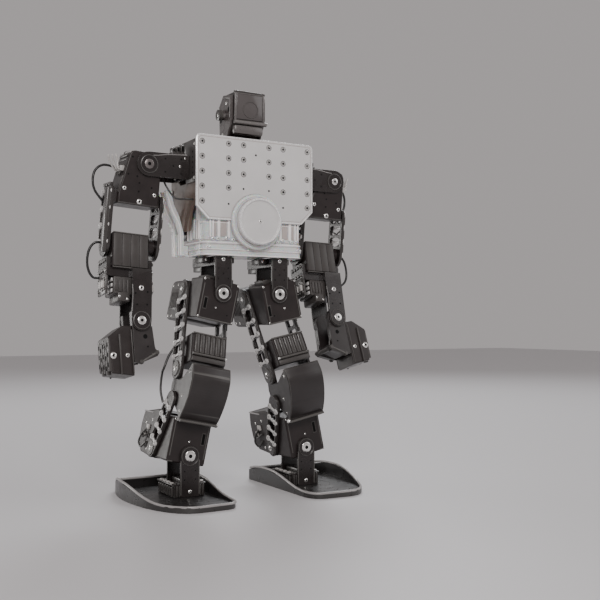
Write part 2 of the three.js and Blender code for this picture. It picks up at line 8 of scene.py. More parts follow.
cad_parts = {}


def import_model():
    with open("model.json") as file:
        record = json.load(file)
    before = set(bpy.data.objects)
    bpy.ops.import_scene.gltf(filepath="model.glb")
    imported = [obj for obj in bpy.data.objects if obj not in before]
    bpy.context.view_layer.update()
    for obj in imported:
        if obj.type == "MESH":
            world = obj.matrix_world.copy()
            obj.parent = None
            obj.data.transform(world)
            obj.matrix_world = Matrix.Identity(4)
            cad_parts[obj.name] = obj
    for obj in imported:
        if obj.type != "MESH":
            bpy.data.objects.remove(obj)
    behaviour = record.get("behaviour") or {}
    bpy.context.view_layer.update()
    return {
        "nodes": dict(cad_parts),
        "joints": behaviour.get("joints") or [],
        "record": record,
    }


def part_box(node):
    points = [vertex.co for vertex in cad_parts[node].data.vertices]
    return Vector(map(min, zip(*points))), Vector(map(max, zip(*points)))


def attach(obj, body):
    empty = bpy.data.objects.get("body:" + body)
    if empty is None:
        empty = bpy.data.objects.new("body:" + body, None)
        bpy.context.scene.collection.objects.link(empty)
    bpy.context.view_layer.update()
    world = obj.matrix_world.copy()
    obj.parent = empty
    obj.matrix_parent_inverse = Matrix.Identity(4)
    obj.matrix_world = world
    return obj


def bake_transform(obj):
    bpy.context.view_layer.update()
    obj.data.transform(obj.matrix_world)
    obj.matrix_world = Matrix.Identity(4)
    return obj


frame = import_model()

# Details are drawn in millimetres, in the axes of the place they belong to.
MM = 0.001
SIDES = {"right": -1, "left": 1}

# Sizes that repeat the CAD model's, in millimetres.
SERVO_HALF = 15.25  # half the depth of a servo case
CLEVIS_HALF = 17.55  # half the distance across a pair of straps
PLATE_FRONT = -32.2
PLATE_TOP = 344.5
SHELL_HALF = 53.2
SHELL_FRONT = -28.9
CAP_HEIGHT = 263.8
HIP_X = 30.7
HIP_Y = -5.8
HIP_Z = 194.8
LEG_IN = 17  # from a leg's axis to the sides of its servos
LEG_OUT = 22
ARM_RIGHT = -29.5  # sides of the arm servos
ARM_LEFT = 15.5
LADDER = 3  # thickness of a ladder frame
LINK = 82  # hip to knee, and knee to ankle
WRIST_DROP = 74  # elbow to wrist
WRIST_TURN = {"right": -5, "left": 6}
SHIN_LEAN = math.radians(8.6)
KNEE_COVER_IN = -16.6
KNEE_COVER_OUT = 21.6
LADDER_GAP = 0.3

# Faces that carry trim: the place of each and the way it looks.
CLEVIS_FACES = ((-CLEVIS_HALF, "-y"), (CLEVIS_HALF, "y"))
LEG_FACES = ((LEG_OUT, 1), (-LEG_IN, -1))
LADDER_FACES = ((LEG_OUT + LADDER_GAP + LADDER, 1), (-LEG_IN - LADDER_GAP - LADDER, -1))


# ---- places of the bodies

joints = {joint["name"]: joint for joint in frame["joints"]}


def spot(joint):
    return Vector(joints[joint]["pos_m"])


def axis_of(joint):
    return Vector(joints[joint]["axis"]).normalized()


def place_at(origin, across, back):
    """Matrix from millimetres along (across, back, up) to the world."""
    up = across.cross(back).normalized()
    turn = Matrix((across, up.cross(across), up)).transposed().to_4x4()
    return Matrix.Translation(origin) @ turn @ Matrix.Scale(MM, 4)


def sideways(out):
    """Name of the x axis that points the given way."""
    return "x" if out > 0 else "-x"


def mirrored(place, side):
    return place @ Matrix.Diagonal((SIDES[side], 1, 1, 1))


def torso_place():
    low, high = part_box("chest_plate")
    shift = Vector(((low.x + high.x) / 2, low.y - PLATE_FRONT * MM, 0))
    return Matrix.Translation(shift) @ Matrix.Scale(MM, 4)


def arm_places(side):
    pitch = axis_of(f"shoulder_pitch_{side}")
    roll = axis_of(f"shoulder_roll_{side}")
    elbow = axis_of(f"elbow_pitch_{side}")
    wrist = axis_of(f"wrist_roll_{side}")
    turn = Matrix.Rotation(math.radians(-SIDES[side] * WRIST_TURN[side]), 3, wrist)
    shoulder = place_at(spot(f"shoulder_pitch_{side}"), pitch, roll)
    hand = place_at(spot(f"wrist_roll_{side}"), turn @ elbow, wrist)
    return {
        f"shoulder_{side}": mirrored(shoulder, side),
        f"upper_arm_{side}": place_at(spot(f"shoulder_roll_{side}"), elbow, roll),
        f"forearm_{side}": place_at(spot(f"elbow_pitch_{side}"), elbow, wrist),
        f"hand_{side}": mirrored(hand, side),
    }


def leg_places(side):
    across = axis_of(f"hip_pitch_{side}")
    hip, knee = spot(f"hip_pitch_{side}"), spot(f"knee_pitch_{side}")
    ankle = spot(f"ankle_pitch_{side}")
    found = {
        f"hip_{side}": place_at(spot(f"hip_roll_{side}"), across, axis_of(f"hip_roll_{side}")),
        f"thigh_{side}": place_at(hip, across, (hip - knee).cross(across)),
        f"shin_{side}": place_at(knee, across, (knee - ankle).cross(across)),
        f"ankle_{side}": place_at(ankle, across, axis_of(f"ankle_roll_{side}")),
        f"foot_{side}": place_at(spot(f"ankle_roll_{side}"), Vector((1, 0, 0)), Vector((0, 1, 0))),
    }
    return {body: mirrored(place, side) for body, place in found.items()}


places = {"torso": torso_place()}
places["head"] = Matrix.Translation(spot("head_turn")) @ Matrix.Scale(MM, 4)
for side in SIDES:
    places.update(arm_places(side))
    places.update(leg_places(side))
    places[f"hip_mount_{side}"] = mirrored(places["torso"], side)
    # The shin ladders stand on the ankle axis and lean forward.
    lean = Matrix.Rotation(SHIN_LEAN, 4, "X")
    places[f"shin_frame_{side}"] = places[f"shin_{side}"] @ Matrix.Translation((0, 0, -LINK)) @ lean


# ---- materials


def link(tree, start, start_name, end, end_name):
    tree.links.new(start.outputs[start_name], end.inputs[end_name])


def fill(node, values):
    """Set the values of a node's inputs that nothing is linked to."""
    for name, value in values.items():
        node.inputs[name].default_value = value


def blank(colour, roughness, metallic=0.0):
    material = bpy.data.materials.new("finish")
    material.use_nodes = True
    shader = material.node_tree.nodes["Principled BSDF"]
    fill(shader, {"Base Color": (*colour, 1), "Roughness": roughness, "Metallic": metallic})
    return material, shader


def noise(tree, scale, detail=4.0, stretch=(1, 1, 1)):
    where = tree.nodes.new("ShaderNodeTexCoord")
    mapping = tree.nodes.new("ShaderNodeMapping")
    fill(mapping, {"Scale": stretch})
    texture = tree.nodes.new("ShaderNodeTexNoise")
    fill(texture, {"Scale": scale, "Detail": detail})
    link(tree, where, "Object", mapping, "Vector")
    link(tree, mapping, "Vector", texture, "Vector")
    return texture


def spread(tree, source, low, high):
    """The source's middle range stretched to low..high."""
    span = tree.nodes.new("ShaderNodeMapRange")
    fill(span, {"From Min": 0.3, "From Max": 0.7, "To Min": low, "To Max": high})
    link(tree, source, "Fac", span, "Value")
    return span


def colour_mix(tree):
    mix = tree.nodes.new("ShaderNodeMix")
    mix.data_type = "RGBA"
    return mix


def worn_edges(tree, colour, light, clouding):
    """Base colour, cloudy, and paler along the edges where handling has polished it."""
    clouds = spread(tree, noise(tree, 60, 6), 0.0, 1.0)
    ground = colour_mix(tree)
    darker = [c * (1 - clouding) for c in colour]
    paler = [c * (1 + clouding) for c in colour]
    fill(ground, {"A": (*darker, 1), "B": (*paler, 1)})
    link(tree, clouds, "Result", ground, "Factor")
    geometry = tree.nodes.new("ShaderNodeNewGeometry")
    edge = tree.nodes.new("ShaderNodeMapRange")
    fill(edge, {"From Min": 0.53, "From Max": 0.62})
    link(tree, geometry, "Pointiness", edge, "Value")
    worn = colour_mix(tree)
    fill(worn, {"B": (*light, 1)})
    link(tree, ground, "Result", worn, "A")
    link(tree, edge, "Result", worn, "Factor")
    return worn


def add_bump(tree, shader, height, distance, strength):
    bump = tree.nodes.new("ShaderNodeBump")
    fill(bump, {"Strength": strength, "Distance": distance})
    link(tree, height, "Fac", bump, "Height")
    link(tree, bump, "Normal", shader, "Normal")


def moulded(colour, roughness, grain=900, light=(0.09, 0.085, 0.08), shine=0.55):
    """Moulded plastic: fine spark-eroded grain, cloudy sheen, polished edges."""
    material, shader = blank(colour, roughness)
    tree = material.node_tree
    fill(shader, {"Specular IOR Level": shine})
    worn = worn_edges(tree, colour, light, 0.18)
    link(tree, worn, "Result", shader, "Base Color")
    gloss = spread(tree, noise(tree, 140, 5), roughness - 0.05, roughness + 0.08)
    link(tree, gloss, "Result", shader, "Roughness")
    add_bump(tree, shader, noise(tree, grain, 3), 0.08 * MM, 0.35)
    return material


def metal(colour, roughness, scale, metallic=1.0, stretch=(1, 1, 1)):
    """Metal with fine scratches along one direction."""
    material, shader = blank(colour, roughness, metallic)
    tree = material.node_tree
    scratches = noise(tree, scale, 8, stretch)
    gloss = spread(tree, scratches, roughness - 0.08, roughness + 0.12)
    link(tree, gloss, "Result", shader, "Roughness")
    worn = worn_edges(tree, colour, tuple(min(1, c * 1.25) for c in colour), 0.03)
    link(tree, worn, "Result", shader, "Base Color")
    add_bump(tree, shader, scratches, 0.05 * MM, 0.25)
    return material


def milky(colour):
    """See-through moulding with a milky body and a glossy skin."""
    material, shader = blank(colour, 0.2)
    tree = material.node_tree
    fill(shader, {"Transmission Weight": 0.3, "IOR": 1.32})
    fill(shader, {"Subsurface Weight": 0.4, "Subsurface Scale": 10 * MM})
    fill(shader, {"Coat Weight": 0.5, "Coat Roughness": 0.08})
    flow = noise(tree, 45, 4)
    gloss = spread(tree, flow, 0.14, 0.34)
    link(tree, gloss, "Result", shader, "Roughness")
    worn = worn_edges(tree, colour, (1.0, 0.98, 0.97), 0.04)
    link(tree, worn, "Result", shader, "Base Color")
    add_bump(tree, shader, flow, 0.2 * MM, 0.3)
    return material


PALE_METAL = (0.66, 0.648, 0.64)
FINISHES = {
    "chest_plate": metal(PALE_METAL, 0.44, 240, 0.25, (1, 1, 12)),
    "round_cap": metal(PALE_METAL, 0.4, 300, 0.2),
    # Paler and smoother than the plate: real polish, and a painted highlight in its paler colour.
    "polished_rim_highlight": metal((0.86, 0.85, 0.84), 0.25, 300, 0.4),
    "clear_shell": milky((0.95, 0.90, 0.885)),
    "chassis": moulded((0.055, 0.035, 0.027), 0.5, 500, (0.12, 0.08, 0.06)),
    "board": moulded((0.02, 0.11, 0.045), 0.35, 300),
    "battery": moulded((0.02, 0.02, 0.026), 0.28, 120),
    "lead": moulded((0.012, 0.0115, 0.0115), 0.36, 1500),
    "sole": moulded((0.017, 0.0155, 0.0155), 0.3, 700),
    "servo_case": moulded((0.0205, 0.015, 0.0146), 0.36, 850, shine=0.42),
    "cover": moulded((0.0195, 0.0152, 0.015), 0.33, 1100),
    "frame": moulded((0.015, 0.011, 0.0108), 0.26, 800),
    "steel": metal((0.78, 0.77, 0.75), 0.22, 900),
    "dark_steel": metal((0.2, 0.182, 0.178), 0.36, 900),
    "seam": moulded((0.40, 0.345, 0.325), 0.3, 700, (0.46, 0.41, 0.39)),
    "bright_clear": moulded((0.92, 0.88, 0.865), 0.15, 300, (1, 0.98, 0.97)),
    # Light grey for the knobs and bars of black frames: a painted highlight.
    "highlit_knob": moulded((0.42, 0.41, 0.40), 0.2, 500, (0.7, 0.69, 0.68)),
    # Light grey lips on black parts: a painted highlight along rounded edges.
    "lip_highlight": moulded((0.30, 0.285, 0.28), 0.2, 900, (0.4, 0.39, 0.385)),
    # Near black without sheen, for holes, recesses and slots: painted shade.
    "hole_shade": moulded((0.003, 0.0027, 0.0027), 0.8, 900, (0.01, 0.01, 0.01), 0.08),
    # Mid-grey for connectors and leads that are dark: a painted highlight.
    "plug_highlight": moulded((0.34, 0.325, 0.31), 0.35, 700, (0.6, 0.58, 0.56)),
    "visor": moulded((0.085, 0.072, 0.074), 0.14, 400),
    # Lighter copy of the black cover for the head: painted light on its sides.
    "head_cover_lit": moulded((0.062, 0.052, 0.051), 0.26, 900, (0.16, 0.15, 0.145), 0.7),
}
for finish_name, material in FINISHES.items():
    material.name = f"{finish_name}_finish"

# For each finish of the trim, what its pieces are called and their material slot in the CAD record.
TRIM = {
    "steel": ("screws", "chassis"),
    "dark_steel": ("dark_screws", "chassis"),
    "polished_rim_highlight": ("polished_rim_highlight", "chest_plate"),
    "clear_shell": ("clear_trim", "clear_shell"),
    "bright_clear": ("bright_ribs", "clear_shell"),
    "seam": ("seams", "clear_shell"),
    "lip_highlight": ("rim_lip_highlight", "sole"),
    "frame": ("black_mouldings", "frame"),
    "highlit_knob": ("knobs", "frame"),
    "hole_shade": ("shaded_holes", "frame"),
    "lead": ("short_leads", "lead"),
    "plug_highlight": ("plugs", "lead"),
    "servo_case": ("servo_mouldings", "servo_case"),
    "visor": ("visor", "servo_case"),
    "cover": ("cover_trim", "cover"),
    "head_cover_lit": ("side_ribs", "cover"),
    "board": ("board_parts", "board"),
}


# ---- moulding in mesh code


TURNS = {
    "x": Matrix.Rotation(math.radians(90), 4, "Y"),
    "-x": Matrix.Rotation(math.radians(-90), 4, "Y"),
    "y": Matrix.Rotation(math.radians(-90), 4, "X"),
    "-y": Matrix.Rotation(math.radians(90), 4, "X"),
    "z": Matrix.Identity(4),
    "-z": Matrix.Rotation(math.radians(180), 4, "X"),
}


def soften(solid, width):
    """Round every edge of a solid."""
    edges = solid.edges[:]
    bmesh.ops.bevel(solid, geom=edges, offset=width, segments=2, affect="EDGES", profile=0.5)


def ring_points(radius, height, steps):
    turns = [2 * math.pi * i / steps for i in range(steps)]
    return [Vector((radius * math.cos(a), radius * math.sin(a), height)) for a in turns]


def add_object(name, data):
    built = bpy.data.objects.new(name, data)
    bpy.context.scene.collection.objects.link(built)
    return built


class Mould:
    """Collects closed solids of one finish in one mesh."""

    def __init__(self):
        self.mesh = bmesh.new()

    def take(self, solid, matrix=Matrix.Identity(4)):
        bmesh.ops.transform(solid, matrix=matrix, verts=solid.verts)
        carrier = bpy.data.meshes.new("carrier")
        solid.to_mesh(carrier)
        solid.free()
        self.mesh.from_mesh(carrier)
        bpy.data.meshes.remove(carrier)

    def turned(self, centre, axis, profile, steps=28):
        """A profile of (radius, height) points turned about an axis through the centre."""
        solid = bmesh.new()
        rings = []
        for radius, height in profile:
            points = ring_points(radius, height, steps) if radius else [Vector((0, 0, height))]
            rings.append([solid.verts.new(point) for point in points])
        pairs = list(zip(rings, rings[1:]))
        if len(rings[0]) > 1:
            pairs.append((rings[-1], rings[0]))
        for first, second in pairs:
            for i in range(steps):
                j = (i + 1) % steps
                corners = [first[i % len(first)], first[j % len(first)]]
                corners += [second[j % len(second)], second[i % len(second)]]
                solid.faces.new(list(dict.fromkeys(corners)))
        self.take(solid, Matrix.Translation(centre) @ TURNS[axis])

    def block(self, x0, x1, y0, y1, z0, z1, bevel=0.4):
        """A box with rounded edges; the two ends in x and in y may come in either order."""
        solid = bmesh.new()
        bmesh.ops.create_cube(solid, size=1)
        size = Matrix.Diagonal((abs(x1 - x0), abs(y1 - y0), z1 - z0, 1))
        bmesh.ops.transform(solid, matrix=size, verts=solid.verts)
        soften(solid, bevel)
        middle = Vector(((x0 + x1) / 2, (y0 + y1) / 2, (z0 + z1) / 2))
        self.take(solid, Matrix.Translation(middle))

    def row(self, count, step, x0, x1, y0, y1, z0, z1, bevel=0.5):
        """Equal blocks, each one step (x, y, z) further than the last."""
        for i in range(count):
            x, y, z = (distance * i for distance in step)
            self.block(x0 + x, x1 + x, y0 + y, y1 + y, z0 + z, z1 + z, bevel)

    def prism(self, outline, axis, start, end, bevel=0.4):
        """An outline of (a, b) points pushed from start to end along x or y."""
        solid = bmesh.new()
        if axis == "x":
            corners = [Vector((start, a, b)) for a, b in outline]
            push = Vector((end - start, 0, 0))
        else:
            corners = [Vector((a, start, b)) for a, b in outline]
            push = Vector((0, end - start, 0))
        face = solid.faces.new([solid.verts.new(corner) for corner in corners])
        grown = bmesh.ops.extrude_face_region(solid, geom=[face])["geom"]
        moved = [item for item in grown if isinstance(item, bmesh.types.BMVert)]
        bmesh.ops.translate(solid, verts=moved, vec=push)
        bmesh.ops.recalc_face_normals(solid, faces=solid.faces)
        soften(solid, bevel)
        self.take(solid)

    def tube(self, points, radius, sides=10):
        """A round rod along straight steps between points."""
        route = [Vector(point) for point in points]
        turns = [2 * math.pi * k / sides for k in range(sides)]
        solid = bmesh.new()
        rings = []
        ahead = (route[1] - route[0]).normalized()
        across = ahead.orthogonal().normalized()
        for i, point in enumerate(route):
            before = route[max(i - 1, 0)]
            after = route[min(i + 1, len(route) - 1)]
            ahead = (after - before).normalized()
            across = (across - ahead * across.dot(ahead)).normalized()
            up = ahead.cross(across)
            offsets = [across * math.cos(a) + up * math.sin(a) for a in turns]
            rings.append([solid.verts.new(point + radius * offset) for offset in offsets])
        for first, second in zip(rings, rings[1:]):
            for k in range(sides):
                j = (k + 1) % sides
                solid.faces.new((first[k], first[j], second[j], second[k]))
        solid.faces.new(rings[0])
        solid.faces.new(rings[-1])
        self.take(solid)

    def piece(self, name, place, finish):
        """Turn the collected solids into one object in its place."""
        bmesh.ops.transform(self.mesh, matrix=place, verts=self.mesh.verts)
        bmesh.ops.recalc_face_normals(self.mesh, faces=self.mesh.faces)
        mesh = bpy.data.meshes.new(name)
        self.mesh.to_mesh(mesh)
        self.mesh.free()
        mesh.materials.append(FINISHES[finish])
        mesh.shade_smooth()
        mesh.set_sharp_from_angle(angle=math.radians(38))
        built = add_object(name, mesh)
        return built


def smooth_route(points, steps=6):
    """Points on a smooth curve through the given points."""
    route = [Vector(point) for point in points]
    padded = [route[0] * 2 - route[1], *route, route[-1] * 2 - route[-2]]
    found = []
    for a, b, c, d in zip(padded, padded[1:], padded[2:], padded[3:]):
        for i in range(steps):
            t = i / steps
            bend = 2 * a - 5 * b + 4 * c - d
            swing = 3 * b - a - 3 * c + d
            found.append(0.5 * (2 * b + (c - a) * t + bend * t**2 + swing * t**3))
    return [*found, route[-1]]


BALL = [(0, 2.2), (1.4, 1.8), (2.2, 0.7), (2.2, -0.7), (1.4, -1.8), (0, -2.2)]


class Unit:
    """Small parts drawn together, in millimetres from one place, one mesh for each finish."""

    def __init__(self, side=None):
        self.side = side
        self.moulds = {}

    def of(self, finish):
        """The mould that collects this unit's solids of one finish."""
        return self.moulds.setdefault(finish, Mould())

    def screw(self, centre, axis, radius):
        """Button-head screw with a dark hexagon on its head: painted shade in its recess."""
        high = 0.34 * radius
        head = [(0, 0.35 * high), (0.46 * radius, 0.35 * high), (0.5 * radius, high)]
        head += [(0.8 * radius, 0.85 * high), (radius, 0.3 * high), (radius, -0.1), (0, -0.1)]
        self.of("steel").turned(centre, axis, head, 20)
        hexagon = [(0, 0.45 * high), (0.42 * radius, 0.45 * high), (0, 0)]
        self.of("hole_shade").turned(centre, axis, hexagon, 6)

    def sunk_screw(self, centre, axis, radius):
        """Grey screw with a dark ring round its head: painted shade of the recess it sits in."""
        recess = [(0, 0.05), (radius * 1.17, 0.05), (radius * 1.17, -0.1), (0, -0.1)]
        self.of("hole_shade").turned(centre, axis, recess, 24)
        head = [(0, 0.2), (0.5 * radius, 0.2), (0.56 * radius, 0.5)]
        head += [(0.9 * radius, 0.45), (radius, 0.1), (0, 0.06)]
        self.of("steel").turned(centre, axis, head, 24)
        hexagon = [(0, 0.26), (0.44 * radius, 0.26), (0.44 * radius, 0.1), (0, 0.1)]
        self.of("hole_shade").turned(centre, axis, hexagon, 6)

    def hole(self, centre, axis, radius):
        # A dark disc on the face: painted shade standing for a hole.
        disc = [(0, 0.06), (radius, 0.06), (radius, -0.1), (0, -0.1)]
        self.of("hole_shade").turned(centre, axis, disc, 16)

    def horn(self, centre, axis, disc, washer, finish="steel"):
        """Servo horn: dark stepped disc with a lip, silver washer, and a dark disc in the middle:
        painted shade of its pit.
        """
        dark = [(0, 0.5), (disc * 0.86, 0.5), (disc * 0.9, 0.8), (disc, 0.5), (disc, -0.1), (0, -0.1)]
        self.of("frame").turned(centre, axis, dark, 40)
        lip = [(disc - 0.5, 0.5), (disc - 0.1, 0.75), (disc + 0.1, 0.3), (disc - 0.2, 0.1)]
        self.of("cover").turned(centre, axis, lip, 40)
        hole = washer * 0.36
        silver = [(hole, 0.4), (hole, 1.1), (washer - 0.5, 1.2), (washer, 0.9), (washer, 0.4)]
        self.of(finish).turned(centre, axis, silver, 36)
        pit = [(0, 0.7), (hole + 0.1, 0.7), (hole + 0.1, 0.4), (0, 0.4)]
        self.of("hole_shade").turned(centre, axis, pit, 20)


def dress(draw, name, body, side=None):
    """Draw the details of one unit in its place and let them ride on its body."""
    unit = Unit(side)
    draw(unit)
    for finish, mould in unit.moulds.items():
        piece = f"{name}_{TRIM[finish][0]}"
        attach(mould.piece(piece, places[name], finish), body)


def ladder_knobs(unit, x, out, half, top, bottom, windows):
    """Hollow knobs and edge ribs on a ladder frame whose outer face is at x; knobs and cross bars are
    light grey on the black frame, a painted highlight.
    """
    axis = sideways(out)
    pitch = (top - bottom) / windows
    highlit_knob = [(0.9, 0.6), (1.1, 1.5), (2.0, 1.6), (2.9, 0.9), (3.1, 0), (3.1, -0.3), (0.9, -0.3)]
    inner, outer = x - out * 0.2, x + out * 1.2
    for i in range(windows + 1):
        z = top - pitch * i
        for y in (half - 2.9, 2.9 - half):
            unit.of("highlit_knob").turned((x, y, z), axis, highlit_knob, 18)
            unit.hole((x, y, z), axis, 1.0)
        unit.of("highlit_knob").block(inner, outer, 4 - half, half - 4, z - 1.3, z + 1.3, 0.5)
        if i < windows:
            for y in (half - 1.2, 1.2 - half):
                unit.of("frame").block(inner, outer, y - 0.9, y + 0.9, z - pitch + 3, z - 3, 0.4)


def ladder_braces(unit, x, out, half, top, bottom, windows):
    """Crossed struts with a round boss in each window of a ladder frame."""
    axis = sideways(out)
    pitch = (top - bottom) / windows
    boss = [(0, 1.5), (2.0, 1.2), (2.3, 0), (0, -0.8)]
    for i in range(windows):
        z = top - pitch * i
        for y in (half - 3.8, 3.8 - half):
            strut = [(x - out * 1.4, y, z - 2.6), (x - out * 1.4, -y, z - pitch + 2.6)]
            unit.of("frame").tube(strut, 0.85, 8)
        unit.of("frame").turned((x - out * 1.6, 0, z - pitch / 2), axis, boss, 16)


# ---- torso


def plate_screws(unit):
    pitch = 14.08
    top = PLATE_TOP - 7
    columns = {57: 5, 29.6: 4, 13.8: 3}
    for x, rows in columns.items():
        for row in range(rows):
            for side in (-1, 1):
                centre = (side * x, PLATE_FRONT, top - pitch * row)
                unit.sunk_screw(centre, "-y", 2.4)
    for x, row in ((29.6, 4.1), (-29.6, 4.1), (13.8, 3), (-13.8, 3), (-0.5, 0.6)):
        unit.hole((x, PLATE_FRONT, top - pitch * row), "-y", 1.0)


def plate_rim(unit):
    """A polished lip round the edge of the chest plate, paler than the plate as a painted highlight,
    and a grey line inside it.
    """
    half, chamfer, corner = 62.4, 12, 3.4
    bottom, middle, top = PLATE_TOP - 79.4, PLATE_TOP - 40, PLATE_TOP - 0.6
    right = [(half - chamfer, bottom), (half, bottom + chamfer)]
    right += [(half, top - corner), (half - 1, top - 1), (half - corner, top)]
    edge = [(chamfer - half, bottom), *right, *[(-x, z) for x, z in reversed(right)]]
    unit.of("polished_rim_highlight").tube([(x, PLATE_FRONT + 0.3, z) for x, z in edge], 0.8, 8)
    width, height = 0.975, 0.962
    line = [(x * width, PLATE_FRONT + 0.1, middle + (z - middle) * height) for x, z in edge]
    unit.of("seam").tube(line, 0.3, 6)


def cap_ring(unit):
    middle = (0, PLATE_FRONT, CAP_HEIGHT)
    ring = [(22.8, 0.2), (22.8, 3.4), (25.6, 3.4), (26.8, 2.4), (27, 0.2)]
    unit.of("clear_shell").turned((0, PLATE_FRONT - 0.1, CAP_HEIGHT), "-y", ring, 56)
    # Pale polished lip round the cap: a painted highlight.
    lip = [(20.4, 9.7), (20.6, 10.3), (21.6, 10.3), (22.6, 9.0), (22.4, 8.4), (21, 8.8)]
    unit.of("polished_rim_highlight").turned(middle, "-y", lip, 64)
    for radius, height in ((27.2, 0.3), (24.2, 3.5), (22.75, 3.6)):
        ring = [(radius, height - 0.3), (radius + 0.35, height), (radius, height + 0.3)]
        unit.of("seam").turned(middle, "-y", ring, 64)
    unit.screw((0, PLATE_FRONT - 8.7, CAP_HEIGHT), "-y", 1.5)


def shell_path(half, front, height):
    """Round the sides and the front of the body shell."""
    corner = 9
    points = [(-half, 19.5, height), (-half, front + corner, height)]
    for i in range(1, 6):
        a = math.pi / 2 * i / 5
        x = corner - half - corner * math.cos(a)
        y = front + corner - corner * math.sin(a)
        points.append((x, y, height))
    points += [(-x, y, z) for x, y, z in reversed(points)]
    return points


def shell_bands(unit):
    """Bright mouldings round the shell with grey seams beside them."""
    half = SHELL_HALF + 1.2
    bright, seam = unit.of("bright_clear"), unit.of("seam")
    for height, radius in ((243, 0.7), (236.5, 0.35), (231.4, 0.6)):
        bright.tube(shell_path(half, SHELL_FRONT, height), radius, 8)
    for height in (241.4, 235.8):
        seam.tube(shell_path(half + 0.1, SHELL_FRONT - 0.1, height), 0.3, 6)
    for height, radius in ((262, 0.6), (282, 0.9)):
        bright.tube(shell_path(SHELL_HALF, SHELL_FRONT, height), radius, 8)
    seam.tube(shell_path(SHELL_HALF + 0.1, SHELL_FRONT - 0.1, 245.2), 0.4, 6)


def shell_front(unit, out):
    """Ribs, grey panes and screw bosses on one half of the shell's front."""
    bright, seam, clear = unit.of("bright_clear"), unit.of("seam"), unit.of("clear_shell")
    front = SHELL_FRONT
    for x, half in ((47.5, 0.7), (44.5, 0.7), (38.5, 1.4), (28, 1.2)):
        bright.block(out * x - half, out * x + half, front - 1.3, front + 0.5, 247.5, 264.5, 0.4)
    for x0, x1 in ((30, 36.5), (40.6, 43.2)):
        seam.block(out * x0, out * x1, front - 0.5, front + 0.5, 248.5, 263.5, 0.3)
    for x, z, radius in ((30.5, 247.5, 1.3), (24, 246, 1.2), (40, 246.5, 1.1), (45, 246.5, 1.1)):
        boss = [(0, 1.6), (radius + 0.6, 1.6), (radius + 1.0, 0), (radius + 1.0, -0.5), (0, -0.5)]
        clear.turned((out * x, front, z), "-y", boss, 20)
        unit.screw((out * x, front - 1.6, z), "-y", radius)
    for x in (50.4, 47.6):
        unit.screw((out * x, front - 1.3, 238.6), "-y", 0.9)


def shell_flank(unit, out):
    """Upright ribs on one side wall of the shell."""
    face = out * SHELL_HALF
    low, high = sorted((face - out * 0.4, face + out * 1.1))
    # The seams stand as far out as the ribs on the right, and half a millimetre less on the left.
    for y in (-17, -12.5, 2, 10):
        unit.of("bright_clear").block(low, high, y - 0.8, y + 0.8, 246.5, 280, 0.4)
    for y in (-15, -10.8):
        unit.of("seam").block(low, high - 0.5 * out, y - 0.5, y + 0.5, 247, 265, 0.2)
    unit.of("clear_shell").block(face - out * 0.4, face + out * 1.6, -8, -2, 247, 266, 0.6)


def fin_trim(unit, side):
    """Rounded lips along the two blades of a side fin."""
    sign = SIDES[side]
    reach = 79 if side == "right" else 65
    waist = reach * 0.55 + 64 * 0.45
    edge = [(reach - 0.4, 293.4), (waist, 275), (65.2, 262), (63.9, 252), (63.4, 232)]
    for y in (4.2, 8.8, 20.2, 24.8):
        route = smooth_route([(sign * x, y, z) for x, z in edge], 4)
        unit.of("bright_clear").tube(route, 0.8, 6)
    for y, z in ((35, 296), (35, 283)):
        unit.screw((sign * 60.6, y, z), sideways(sign), 2.4)
    unit.screw((sign * 59.8, 22, 262), sideways(sign), 1.8)


def shoulder_cover(unit, out):
    """Black block in front of and above the shoulder servo's horn."""
    inner, outer = out * 60, out * 61.6
    black = unit.of("servo_case")
    black.block(inner, outer, -28.6, -3, 300, 341, 0.6)
    black.block(inner, outer, -4, 20, 327.5, 341, 0.6)
    black.block(out * 45, out * 60.4, -28.4, 18, 326.3, 341.5, 1.2)
    for y, z in ((-24, 336), (-24, 304), (17, 338)):
        unit.screw((outer, y, z), sideways(out), 1.5)
    for i in range(5):
        unit.hole((outer, -20, 309 + 5 * i), sideways(out), 0.9)


def hip_mount_details(unit):
    front = HIP_Y - CLEVIS_HALF
    back = HIP_Y + CLEVIS_HALF
    unit.horn((HIP_X, front, HIP_Z), "-y", 8.3, 5.2)
    for y, axis in ((front, "-y"), (back, "y")):
        unit.screw((HIP_X, y, 227.6), axis, 1.9)
        for dx, z in ((-5, 219), (5, 219), (-5.2, 209), (5.2, 209), (0, 214)):
            unit.hole((HIP_X + dx, y, z), axis, 0.7)
    black = unit.of("frame")
    for x in (HIP_X - 8.3, HIP_X + 8.3):
        black.block(x - 0.6, x + 0.6, front - 0.6, front + 0.6, 200, 229, 0.3)
    for x in (HIP_X - 13, HIP_X + 13):
        black.block(x - 4, x + 4, -12, 6, 224.6, 230.6, 0.8)
        unit.screw((x, -12, 227.6), "-y", 1.4)
        unit.screw((x, -4, 224.6), "-z", 1.6)
    black.block(HIP_X - 8.4, HIP_X + 8.4, 12.5, 31, 217, 222, 0.8)


